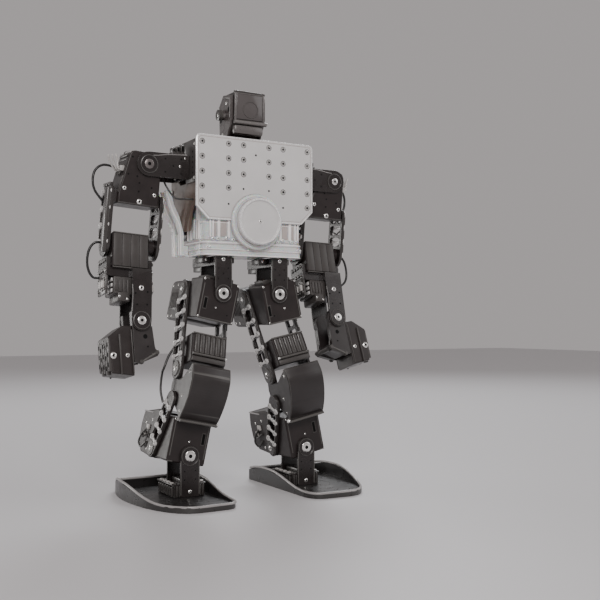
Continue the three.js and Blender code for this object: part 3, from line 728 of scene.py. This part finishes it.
def back_details(unit):
    black = unit.of("frame")
    face = 62
    black.row(9, (0, 0, 4.2), -30, 30, face - 0.6, face + 0.9, 262, 263.8, 0.4)
    black.block(-34, 34, face - 0.8, face + 0.8, 302, 330, 1.2)
    black.block(-10, 10, face, face + 1.8, 304, 309, 0.8)
    for x in (-37, 37):
        for z in (256, 330):
            unit.screw((x, face, z), "y", 1.9)
    # Grey connector: a painted highlight.
    unit.of("plug_highlight").block(16, 26, face - 1, face + 1.6, 316, 324, 0.6)
    for x in (18.5, 21, 23.5):
        unit.hole((x, face + 1.6, 320), "y", 0.8)
    unit.of("cover").turned((-20, face + 0.6, 320), "y", [(0, 1.4), (3.4, 1.4), (4, 0), (0, 0)], 28)
    for side in (-1, 1):
        for z in (262, 275, 300, 315):
            unit.screw((side * 52, 38, z), "y", 1.7)
        for i in range(4):
            unit.hole((side * 47.5, 38, 264 + 15 * i), "y", 1.6)
        unit.screw((side * 18.5, 26, 342), "z", 1.7)
        unit.screw((side * 18.5, -24, 342), "z", 1.7)


def board_details(unit):
    board = unit.of("board")
    for x, z in ((-28, 300), (-5, 286), (18, 310)):
        board.block(x, x + 13, -21.8, -19.6, z, z + 13, 0.4)


def torso_details(unit):
    plate_screws(unit)
    plate_rim(unit)
    cap_ring(unit)
    shell_bands(unit)
    for side, out in SIDES.items():
        shell_front(unit, out)
        shell_flank(unit, out)
        fin_trim(unit, side)
        shoulder_cover(unit, out)
    back_details(unit)
    board_details(unit)


# ---- head


def head_details(unit):
    case = unit.of("servo_case")
    case.block(-16.9, 16.9, -18.2, -15.4, 45.6, 48.3, 0.8)
    case.block(-17, 17, -18, -14.8, 16.6, 20, 1.0)
    # Head trim in the lighter copy of the cover: painted light.
    cover = unit.of("head_cover_lit")
    cover.tube([(-16.6, -17, 17.4), (18.4, -17, 17.4)], 1.9, 14)
    cover.block(-16, 16, -16.8, -9, 6, 15.4, 2.6)
    for x in (-16.2, 14.2):
        cover.block(x, x + 2, -18.2, -15.6, 19, 47, 0.7)
    cover.block(-16.6, 16.6, -18.2, -15.4, 45.2, 47.4, 0.7)
    unit.of("visor").block(-14, 14, -17.7, -16.4, 20.4, 45.6, 0.6)
    lens = [(7.4, 0), (7.6, 0.5), (8.4, 0.5), (8.6, 0), (8.4, -0.2), (7.6, -0.2)]
    unit.of("visor").turned((1, -17.7, 30.5), "-y", lens, 40)
    for side in (-1, 1):
        axis = sideways(side)
        face = side * 18.6
        unit.screw((face, -3, 38), axis, 1.7)
        unit.screw((face, 6, 8), axis, 1.7)
        unit.hole((face, -8.5, 31), axis, 2.4)
        unit.hole((face, 9.5, 22), axis, 1.6)
        low, high = sorted((face - side * 0.3, face + side * 1.0))
        cover.prism([(-13, 22), (-13, 42), (-11.4, 42.4), (-11.4, 22.6)], "x", low, high, 0.3)
        cover.prism([(-12, 42.2), (4, 45.4), (4, 44), (-12, 40.8)], "x", low, high, 0.3)
    boss = [(2.0, 0), (2.0, 0.9), (4.2, 1.1), (5.4, 0.6), (5.4, -3), (2.0, -3)]
    unit.of("frame").turned((-24, 4, 27), "-x", boss, 32)
    unit.screw((-24, 4, 27), "-x", 2.1)
    unit.of("frame").turned((18.6, 4, 27), "x", [(0, 1.5), (4.6, 1.5), (5.2, 0), (0, -0.5)], 32)
    unit.screw((20, 4, 27), "x", 2.1)
    unit.of("steel").turned((17, -16.5, 18.5), "x", [(0, 4), (0.9, 3.8), (1, 0), (0, 0)], 14)
    case.row(5, (0, 0, 5), -11, 11, 10.2, 13.2, 14, 16)
    unit.screw((-12, 3, 2), "z", 1.6)


# ---- arms


def shoulder_details(unit):
    reach = 39.9
    disc, washer, finish = 8.4, 3.5, "steel"
    if unit.side == "right":
        disc, washer, finish = 8.6, 4.6, "dark_steel"
    for y, axis in CLEVIS_FACES:
        unit.horn((reach, y, 0), axis, disc, washer, finish)
        for x, z in ((24, 6.2), (24, -6.2), (16, 0), (8, 7), (8, -7)):
            unit.hole((x, y, z), axis, 0.8)
        unit.screw((9, y, 0), axis, 1.3)
        unit.screw((4, y, 8), axis, 1.0)
    black = unit.of("frame")
    black.block(3, 16.8, -15.4, -5, 3, 13.6, 0.6)
    for i in range(3):
        x = 3.2 + 4.4 * i
        top = 21.4 - 1.6 * i
        black.block(x, x + 3.8, -14, -7, 13.2, top, 0.5)
        # Dark face on each connector: painted shade of its holes.
        unit.of("hole_shade").block(x + 0.8, x + 3, -14.2, -13.8, 15, top - 1.6, 0.1)
        unit.of("steel").block(x + 1, x + 2.8, -12, -9, top - 0.4, top + 0.6, 0.2)
    # Light grey lips along the tops of the straps: a painted highlight.
    for y in (-CLEVIS_HALF + 0.4, CLEVIS_HALF - 0.4):
        lip = [(2, y, 11.4), (20, y, 10.4), (31, y, 8.8), (36, y, 8.4)]
        unit.of("lip_highlight").tube(smooth_route(lip, 3), 0.5, 8)
    for y, z in ((-10, 8), (10, 8), (-10, -8), (10, -8)):
        unit.screw((3, y, z), "x", 1.6)


def upper_arm_ladders(unit, with_guard):
    half, bottom, windows = 13, -76, 3
    for x, out, top in ((ARM_RIGHT - LADDER, -1, -29), (ARM_LEFT + LADDER, 1, -32)):
        ladder_knobs(unit, x, out, half, top, bottom, windows)
        ladder_braces(unit, x, out, half, top, bottom, windows)
    black = unit.of("frame")
    if with_guard:
        black.block(ARM_RIGHT - 7, ARM_RIGHT - LADDER + 0.2, -13, -4, -86, -26, 1.2)
    for y in (-6, 2, 9):
        black.block(ARM_RIGHT - 4, ARM_RIGHT, y - 2, y + 2, -24, -20.5, 0.7)


def upper_arm_face(unit, y, axis):
    for x, z, radius in ((-21.3, -25.5, 1.9), (8.4, -28.4, 1.9), (-6, -36.4, 2.6)):
        unit.screw((x, y, z), axis, radius)
    for x, z in ((-15.6, 4.5), (-18.6, -12), (-9.8, -13), (-7.3, -19), (-7.3, -27), (5, -22)):
        unit.hole((x, y, z), axis, 0.9)


def roll_servo_plugs(unit, out):
    """Three connectors with curved wires on the side face of the shoulder roll servo, drawn pale grey
    as a painted highlight on dark parts.
    """
    face = 13 if out > 0 else 19.5
    plug_highlight = unit.of("plug_highlight")
    for i in range(3):
        y = -8 + 5 * i
        tip = 8 + 2 * i
        plug_highlight.block(out * (face + 1), out * (face + 5.5), y - 1.8, y + 1.8, -9, -4, 0.5)
        wire = [(3, y, -8), (7, y, -7), (tip, y + 1, 0), (tip + 2, y + 1, 6)]
        plug_highlight.tube(smooth_route([(out * (face + x), y, z) for x, y, z in wire], 4), 0.95, 8)
        unit.of("lead").tube([(out * (face + 2), y, -3), (out * (face + 5), y + 2, -12)], 0.9, 8)


def upper_arm_details(unit):
    upper_arm_face(unit, -SERVO_HALF, "-y")
    upper_arm_face(unit, SERVO_HALF, "y")
    case = unit.of("servo_case")
    edge = [(-23.9, -14), (-27.4, -30), (-26.2, -30), (-22.7, -14)]
    case.prism(edge, "y", -SERVO_HALF - 0.7, -13.5, 0.3)
    ledge = [(-26.4, -39.6), (12.8, -39.6), (12.8, -38.4), (-26.4, -38.4)]
    case.prism(ledge, "y", -SERVO_HALF - 0.6, -14, 0.3)
    # Light grey rod on the servo's rounded top corner: a painted highlight.
    unit.of("lip_highlight").tube([(-17.2, -14, 9.6), (-17.2, 14, 9.6)], 1.6, 14)
    case.row(3, (0, 0, -3.4), -20, -13, -11, 11, 5.2, 7.4)
    case.turned((-12, 0, 6), "z", [(0, 5.4), (6, 5.4), (7, 4.2), (7.2, 0), (0, 0)], 32)
    out = SIDES[unit.side]
    upper_arm_ladders(unit, with_guard=out < 0)
    roll_servo_plugs(unit, out)


def forearm_bracket_details(unit):
    for y, axis in CLEVIS_FACES:
        unit.horn((0, y, -WRIST_DROP), axis, 8.4, 4.0)
        unit.screw((-0.8, y, -43.6), axis, 2.5)
        for x, z in ((-6.4, -49), (5.4, -47), (-4.6, -59.5), (5, -59)):
            unit.hole((x, y, z), axis, 0.9)
    edge = smooth_route([(-9.3, -17.4, -41), (-8.9, -17.6, -50), (-9.3, -17.4, -66)], 4)
    unit.of("cover").tube(edge, 0.7, 8)
    black = unit.of("frame")
    for x, out in ((ARM_RIGHT - 3.4, -1), (12.4, 1)):
        axis = sideways(out)
        black.block(x, x - out * 2.4, -11, 11, -50, -30, 0.8)
        for row in range(4):
            for y in (-8, -2.6, 2.8, 8.2):
                z = -18.5 - 9 * row
                black.turned((x, y, z), axis, [(0, 1.2), (1.5, 1.0), (2.0, 0), (0, -0.6)], 14)
        for y, z in ((-9, -28), (9, -28), (0, -46)):
            unit.screw((x, y, z), axis, 1.7)
        # Grey connectors: a painted highlight.
        for y in (-7, 0):
            unit.of("plug_highlight").block(x, x + out * 2.6, y - 2, y + 2, -44.5, -38, 0.5)


def forearm_gearbox(unit):
    """Block between the elbow bracket and the wrist straps, with stepped bars on its front."""
    case = unit.of("servo_case")
    case.block(-26, 8, -13, 12, -50, -33.4, 1.4)
    case.block(-22, -10.5, -14.6, 11, -57, -48, 1.4)
    for i in range(4):
        x = -24.5 + 3.7 * i
        case.block(x, x + 2.6, -14.2, -12.4, -47 - i, -36, 0.5)
    for x, z in ((-20.5, -52.5), (-13, -54.5)):
        unit.screw((x, -14.6, z), "-y", 1.2)
    # Light grey knobs on the outer side: a painted highlight.
    highlit_knob = unit.of("highlit_knob")
    for row in range(3):
        for column in range(2):
            y, z = -8 + 10 * column, -36.5 - 5 * row
            highlit_knob.block(-27.2, -25.6, y - 2.6, y + 2.6, z - 1.6, z + 1.6, 0.5)


def forearm_details(unit):
    case = unit.of("servo_case")
    first, last = ARM_RIGHT + 2.2, 6
    width = (last - first) / 4
    bar = (first + 0.2, first + width - 0.2)
    for out in (-1, 1):
        case.row(4, (width, 0, 0), *bar, out * 14, out * (SERVO_HALF + 0.4), -24.2, 6.6, 0.3)
        y = out * (SERVO_HALF + 0.2)
        for z in (7.4, -25.4):
            case.tube([(first - 0.6, y, z), (last + 0.6, y, z)], 0.6, 8)
    forearm_bracket_details(unit)
    forearm_gearbox(unit)
    leads = unit.of("lead")
    for dx, dy in ((-20, -8), (-16, 4)):
        curve = [(dx, dy, -33), (dx - 2, dy - 2, -42), (dx + 4, dy - 3, -48), (-7, dy, -46)]
        leads.tube(smooth_route(curve, 5), 1.1, 8)


def hand_details(unit):
    case = unit.of("servo_case")
    for y, axis in ((-15.2, "-y"), (15.2, "y")):
        inset = 0.2 if y < 0 else -0.2
        unit.screw((14.8, y, -31.3), axis, 2.0)
        unit.screw((28, y + inset, -31), axis, 3.1)
        unit.hole((-3.2, y, -14.6), axis, 2.1)
        unit.hole((-5, y, -24), axis, 0.9)
        proud = y * 1.09
        case.block(20.8, 22.4, y, proud, -49, -12, 0.4)
        case.block(9.6, 10.8, y, proud, -48, -8, 0.35)
    fingers = ((-14.6, -15, -45), (-8.6, -17, -48), (-2.4, -15, -46))
    fingers += ((3.8, -18, -47), (9.8, -15, -44))
    for y, top, bottom in fingers:
        case.block(28.6, 32.4, y, y + 4.8, bottom, top, 0.8)
        for z in (top - 6, (top + bottom) / 2, bottom + 6):
            # Dark slits in the fingers: painted shade.
            unit.of("hole_shade").block(32.2, 32.6, y + 1.4, y + 3.4, z - 2, z + 2, 0.15)
    for z in (-20, -33, -43):
        case.block(29, 31.8, -14, 14, z - 1.4, z + 1.4, 0.5)
    cover = unit.of("cover")
    cover.tube([(-13, -12, -30), (-13, 12, -30)], 2.4, 12)
    disc = [(0, 1.0), (1.9, 0.9), (2.4, 0), (2.4, -1.4), (0, -1.4)]
    for y, axis in ((-15, "-y"), (15, "y")):
        cover.tube([(-14.6, y, -29), (2.6, y, -38.2)], 1.0, 8)
        for x, z in ((-13.6, -29.6), (2, -37.6)):
            cover.turned((x, y, z), axis, disc, 20)
        unit.hole((-2.6, y, -27), axis, 2.3)
    for y in (-11.2, 11.2):
        cover.tube(smooth_route([(-9.8, y, -6), (-11, y, -18), (-13.6, y, -27)], 4), 0.8, 8)


# ---- legs


def servo_face(unit, y, plain, crossed, screw_heights):
    """Raised border and screws on the front of a leg servo, cut away where the strap turns.

    plain and crossed are the heights of the border's two level edges; the strap crosses one.
    """
    case = unit.of("servo_case")
    left, right = 1 - LEG_IN, LEG_OUT - 1
    case.tube([(left, y, plain), (right, y, plain)], 0.8, 8)
    case.tube([(16, y, crossed), (right, y, crossed)], 0.6, 8)
    clear_of_strap = crossed + 5 if plain > crossed else crossed - 5
    for x in (left + 1.2, right - 1.2):
        case.tube([(x, y, clear_of_strap), (x, y, plain)], 0.5, 8)
    for x in (left + 0.6, right - 0.6):
        for z in screw_heights:
            unit.screw((x, y - 0.1, z), "-y", 1.1)


def slot_mark(unit, x, y, z):
    """Dark upright slot in the front of a leg servo, with a thin lip round it; its dark inside is
    painted shade.
    """
    unit.of("servo_case").block(x - 2.1, x + 2.1, y - 0.35, y + 0.3, z - 6, z + 6, 0.2)
    unit.of("hole_shade").block(x - 1.4, x + 1.4, y - 0.5, y + 0.3, z - 5, z + 5, 0.1)


def hip_details(unit):
    front = HIP_Y - SERVO_HALF
    servo_face(unit, front, -27.2, 11, (-26.2, 10.2))
    if unit.side == "right":
        slot_mark(unit, 15.7, front, -12.5)
    else:
        slot_mark(unit, -13.4, front, -14.5)
    unit.screw((4, front, -15), "-y", 0.9)
    unit.hole((-9, front, -20), "-y", 0.7)
    case = unit.of("servo_case")
    case.block(-12, -2, -15, 4, 11.5, 16, 0.8)
    case.block(6, 18, -17, 3, 11.5, 14.6, 0.8)
    for x, y in ((-7, -11), (-7, 0), (12, -13), (12, -2)):
        unit.screw((x, y, 16 if x < 0 else 14.6), "z", 1.5)
    case.prism([(14, -20), (22.2, -12), (22.2, -28), (14, -28)], "y", 4, 9, 0.5)
    case.row(7, (0, 0, 4.4), -12, 17, 56.4, 57.8, -24, -21.8)
    for x, out in LEG_FACES:
        axis = sideways(out)
        for y, z in ((43, -26), (52, -26), (52, 5), (40, 6)):
            unit.screw((x, y, z), axis, 1.3)
        case.block(x - out * 0.3, x + out * 0.25, 34, 53, -20, 1, 0.1)
        case.row(5, (0, 3.4, 0), x, x + out, 36, 37.4, -18, -2, 0.3)
    unit.of("plug_highlight").block(-2, 8, 30, 36, 9.6, 12.4, 0.5)


def thigh_details(unit):
    for x, out in LADDER_FACES:
        axis = sideways(out)
        ladder_knobs(unit, x, out, 10, -11, -69, 4)
        black = unit.of("frame")
        black.turned((x, 0, 0), axis, [(0, 1.4), (6.6, 1.4), (8, 0), (0, -0.3)], 36)
        unit.sunk_screw((x + out * 1.4, 0, 0), axis, 2.2)
        black.turned((x, 0, -LINK), axis, [(0, 1.2), (7, 1.2), (8, 0), (0, -0.3)], 36)
        unit.screw((x + out * 1.2, 0, -LINK), axis, 3.2)
    case = unit.of("servo_case")
    black.row(6, (5.4, 0, 0), -13.4, -9.2, -23.2, -21.2, -70, -51.6, 1.0)
    case.tube([(-15, -22, -50.6), (20, -22, -50.6)], 0.9, 8)
    unit.of("cover").tube([(-14.8, -23.2, -71.6), (19.8, -23.2, -71.6)], 1.3, 14)
    case.block(-15, 20, -22.8, -21, -78.4, -73.4, 0.8)
    pin = [(0, 1.2), (1.2, 1.0), (1.5, 0), (1.2, -1.0), (0, -1.2)]
    unit.of("steel").turned((-14.4, -23.2, -71.6), "x", pin, 18)
    case.row(6, (5.4, 0, 0), -12, -9.4, 8.6, 10, -76, -53)


def shin_frame_details(unit):
    for x, out in LADDER_FACES:
        axis = sideways(out)
        ladder_knobs(unit, x, out, 9, 48, 9, 3)
        unit.of("frame").turned((x, 0, 0), axis, [(0, 0.9), (7, 0.9), (7.8, 0), (0, -0.3)], 36)
        unit.screw((x + out * 0.9, 0, 0), axis, 3.0)


def knee_skin(unit, edge):
    """Smooth curved face over the front of the knee cover."""
    curve = smooth_route([(0, y, z) for y, z in edge], 5)
    outer = [(point.y - 0.35, point.z) for point in curve]
    inner = [(point.y + 0.8, point.z) for point in reversed(curve)]
    unit.of("cover").prism([*outer, *inner], "x", KNEE_COVER_IN, KNEE_COVER_OUT, 0.12)


def shin_details(unit):
    for x, axis in ((-LEG_IN, "-x"), (LEG_OUT, "x")):
        unit.screw((x, -26.2, 7), axis, 1.5)
        unit.screw((x, -24.3, -17.8), axis, 1.5)
        unit.screw((x, -30, -31), axis, 1.2)
    rod = unit.of("cover")
    rod.tube([(KNEE_COVER_IN, -36.3, -38), (KNEE_COVER_OUT, -36.3, -38)], 1.3, 14)
    unit.of("steel").turned((-LEG_IN, -33.4, -38.4), "x", BALL, 18)
    top = [(KNEE_COVER_IN, -26.8, 15), (2.5, -27, 15.1), (KNEE_COVER_OUT, -26.8, 15)]
    rod.tube(smooth_route(top, 3), 0.6, 8)
    edge = [(-26.6, 15), (-34.4, 5.4), (-37.8, -7), (-38, -20), (-36.2, -31), (-34.2, -36.8)]
    for x in (KNEE_COVER_IN, KNEE_COVER_OUT):
        rod.tube(smooth_route([(x, y, z) for y, z in edge], 4), 0.55, 6)
    knee_skin(unit, edge)


def ankle_details(unit):
    front = -35.6
    servo_face(unit, front, 33, -7.2, (32.2,))
    slot_mark(unit, -11 if unit.side == "right" else 14, front, 17)
    unit.screw((2.7, front, 12.7), "-y", 0.9)
    case = unit.of("servo_case")
    unit.of("cover").tube([(-14, front + 0.6, 34), (19, front + 0.6, 34)], 1.0, 10)
    case.row(6, (0, 0, 4.4), -12, 17, 44, 47.9, 4, 6.2)
    # Light grey rim round the top of the ankle servo: a painted highlight.
    rim = [(-LEG_IN, 20), (-LEG_IN, 43.6), (LEG_OUT, 43.6), (LEG_OUT, 20)]
    unit.of("lip_highlight").tube([(x, y, 33.2) for x, y in rim], 0.7, 8)
    for x, out in LEG_FACES:
        axis = sideways(out)
        for y, z in ((18, 26), (33, 22), (20, -3)):
            unit.screw((x, y, z), axis, 1.4)
        # Grey connectors: a painted highlight.
        unit.of("plug_highlight").block(x, x + out * 2.2, 21, 27, 16, 21, 0.5)
        unit.of("plug_highlight").block(x, x + out * 2.2, 29, 33, 9, 14, 0.5)
        first = [(1.6, 24, 17), (4, 30, 10), (4, 34, 2), (3, 28, -2), (1, 22, 4)]
        second = [(1.6, 31, 11), (4.4, 26, 8), (1, 20, 12)]
        for curve, radius in ((first, 1.0), (second, 0.9)):
            route = smooth_route([(x + out * dx, y, z) for dx, y, z in curve], 5)
            unit.of("lead").tube(route, radius, 8)


def rim_height(y):
    """Height of the sole's rim above its underside: low at the toe, swelling beside the ankle."""
    toe_height, swell, sink = 5, 11.2, 5
    rise = min(1, max(0, (y + 58) / 70))
    fall = max(0, (y - 26) / 34)
    return toe_height + swell * (3 * rise**2 - 2 * rise**3) - sink * fall**2


def curve_points(steps, *corners):
    """Points along a cubic curve in the sole's plan, from its four corners."""
    found = []
    for i in range(steps):
        t = i / steps
        weights = ((1 - t) ** 3, 3 * t * (1 - t) ** 2, 3 * t**2 * (1 - t), t**3)
        found.append([sum(w * c[k] for w, c in zip(weights, corners)) for k in range(2)])
    return found


def sole_lip(unit):
    """Polished round lip along the top of the sole's rim, drawn light grey as a painted highlight."""
    plan = [(45, 59), (12, 59), (-20, 59)]
    plan += [(-25, 55 - 11 * i) for i in range(11)]
    plan += curve_points(6, (-25, -58), (-24.4, -72), (-21, -76), (-12, -77))
    plan += [(-12, -77), (2, -77.6)]
    plan += curve_points(12, (15, -78), (41, -77), (54, -30), (54, 8))
    plan += curve_points(7, (54, 8), (54, 26), (51, 40), (45, 59))
    plan += [(45, 59)]
    underside = -41.2
    route = [(x, y, underside + rim_height(y)) for x, y in plan]
    unit.of("lip_highlight").tube(route, 1.25, 10)


def foot_details(unit):
    front = -19.9
    back = front + 2 * CLEVIS_HALF
    black = unit.of("frame")
    unit.horn((0, front, 0), "-y", 8.8, 5.1)
    for y, axis in ((front, "-y"), (back, "y")):
        unit.screw((0, y, -33.4), axis, 2.0)
        for x, z in ((-5.5, -22), (5.5, -22), (-5.5, -14), (5.5, -14)):
            unit.hole((x, y, z), axis, 0.7)
        top = -4 if y < 0 else -20
        for x in (-9.2, 9.2):
            black.tube([(x, y, top), (x, y, -36)], 0.55, 8)
    for x in (-13.4, -11, 10.4, 12.8):
        black.block(x - 0.7, x + 0.7, -19.4, -17.4, -37.6, -27, 0.4)
    for out in (1, -1):
        x = out * 15
        black.row(7, (0, 5.2, 0), x - out * 0.4, x + out * 1.8, -15, -12, -37.6, -28.2, 0.6)
        black.block(x, x + out * 2.2, -17, 22, -27.4, -25.6, 0.5)
        for y in (-12, 4, 18):
            unit.screw((x - out * 3, y, -25.9), "z", 1.7)
        # Grey connectors: a painted highlight.
        unit.of("plug_highlight").row(4, (0, 8.4, 0), x - 1.6, x + 1.6, -13, -9, -25.8, -24.4)
    black.block(-6, 6, -14, 12, -26, -22.4, 0.8)
    sole_lip(unit)


# ---- leads across joints


def crossing_lead(name, points, radius):
    """A lead in world millimetres that bends between two bodies."""
    mould = Mould()
    mould.tube(smooth_route(points, 8), radius, 10)
    built = mould.piece(name, Matrix.Scale(MM, 4), "lead")
    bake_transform(built)


def world(body, point):
    return (places[body] @ Vector(point)) / MM


def knee_lead(side):
    thigh, shin = f"thigh_{side}", f"shin_{side}"
    above = [(24.4, 11, -58), (28, 14, -66), (31, 16, -78)]
    below = [(31, 16, -12), (30, 10, -26), (27, 2, -36)]
    points = [world(thigh, point) for point in above] + [world(shin, point) for point in below]
    crossing_lead(f"knee_lead_{side}", points, 1.2)


def shoulder_lead(side):
    shoulder, sign = f"shoulder_{side}", SIDES[side]
    near = 22 if side == "right" else 14
    outside = [(near, -6, -11), (near - 2, -12, -20), (near - 9, -16, -30)]
    inside = [(sign * 66, -16, 284), (sign * 58, -18, 284)]
    points = [world(shoulder, point) for point in outside]
    points += [world("torso", point) for point in inside]
    crossing_lead(f"shoulder_lead_{side}", points, 0.9)


# ---- CAD nodes


def dress_nodes():
    """Finishes and softly rounded edges for the nodes of the CAD model."""
    slots = {part["node"]: part["material_slot"] for part in frame["record"]["subparts"]}
    for name, node in frame["nodes"].items():
        node.data.materials.clear()
        # The head frame takes the lighter copy of the cover: painted light.
        finish = "head_cover_lit" if name == "head_frame" else slots[name]
        node.data.materials.append(FINISHES[finish])
        node.data.shade_smooth()
        weld = node.modifiers.new("weld", "WELD")
        weld.merge_threshold = 0.01 * MM
        if slots[name] == "lead":
            node.modifiers.new("round", "SUBSURF").render_levels = 2
            continue
        bevel = node.modifiers.new("soft_edges", "BEVEL")
        bevel.width = 0.45 * MM
        bevel.segments = 2
        bevel.limit_method = "ANGLE"
        bevel.angle_limit = math.radians(36)
        shading = node.modifiers.new("even_shading", "WEIGHTED_NORMAL")
        shading.mode = "FACE_AREA_WITH_ANGLE"


# ---- camera and light


def add_camera():
    """Three-quarter view from the robot's right, low, as in a product picture."""
    plate = places["torso"] @ Vector((0, PLATE_FRONT, PLATE_TOP - 80))
    camera = add_object("camera", bpy.data.cameras.new("camera"))
    camera.data.sensor_width = 36
    camera.data.lens = 54
    from_plate = Vector((-0.396, -0.7758, -0.0995))
    turn, tilt = -29.83, 1.55
    camera.location = plate + from_plate
    camera.rotation_euler = (math.radians(90 + tilt), 0, math.radians(turn))
    bpy.context.scene.camera = camera


def add_light(name, place, energy, width, colour=(1, 1, 1)):
    light = bpy.data.lights.new(name, "AREA")
    light.energy = energy
    light.size = width
    light.color = colour
    lamp = add_object(name, light)
    lamp.location = place
    middle = Vector((0, 0, 0.2))
    aim = middle - Vector(place)
    lamp.rotation_euler = aim.to_track_quat("-Z", "Y").to_euler()


def add_stage():
    mesh = bpy.data.meshes.new("studio_floor")
    sheet = bmesh.new()
    bmesh.ops.create_grid(sheet, x_segments=1, y_segments=1, size=4)
    sheet.to_mesh(mesh)
    sheet.free()
    floor_material, _ = blank((0.62, 0.61, 0.62), 0.5)
    floor_material.name = "studio_floor_finish"
    mesh.materials.append(floor_material)
    add_object("studio_floor", mesh)
    world_light = bpy.data.worlds.new("studio")
    world_light.use_nodes = True
    background = world_light.node_tree.nodes["Background"]
    fill(background, {"Color": (0.95, 0.895, 0.89, 1), "Strength": 0.42})
    bpy.context.scene.world = world_light
    add_light("side_light", (-1.0, 1.25, 0.28), 6, 0.6, (1, 0.985, 0.96))
    add_light("key_light", (-0.7, -1.6, 1.2), 24, 0.8, (1, 0.965, 0.955))
    add_light("fill_light", (1.3, -0.8, 0.9), 4, 1.0)
    add_light("rim_light", (0.9, 1.2, 1.3), 14, 0.8, (0.95, 0.97, 1))


LIMB_UNITS = {
    "shoulder": shoulder_details,
    "upper_arm": upper_arm_details,
    "forearm": forearm_details,
    "hand": hand_details,
    "hip": hip_details,
    "thigh": thigh_details,
    "shin": shin_details,
    "shin_frame": shin_frame_details,
    "ankle": ankle_details,
    "foot": foot_details,
}

dress_nodes()
for side in SIDES:
    dress(hip_mount_details, f"hip_mount_{side}", "torso")
dress(torso_details, "torso", "torso")
dress(head_details, "head", "head")
for side in SIDES:
    for name, draw in LIMB_UNITS.items():
        body = "shin" if name == "shin_frame" else name
        dress(draw, f"{name}_{side}", f"{body}_{side}", side)
for side in SIDES:
    knee_lead(side)
    shoulder_lead(side)
add_camera()
add_stage()
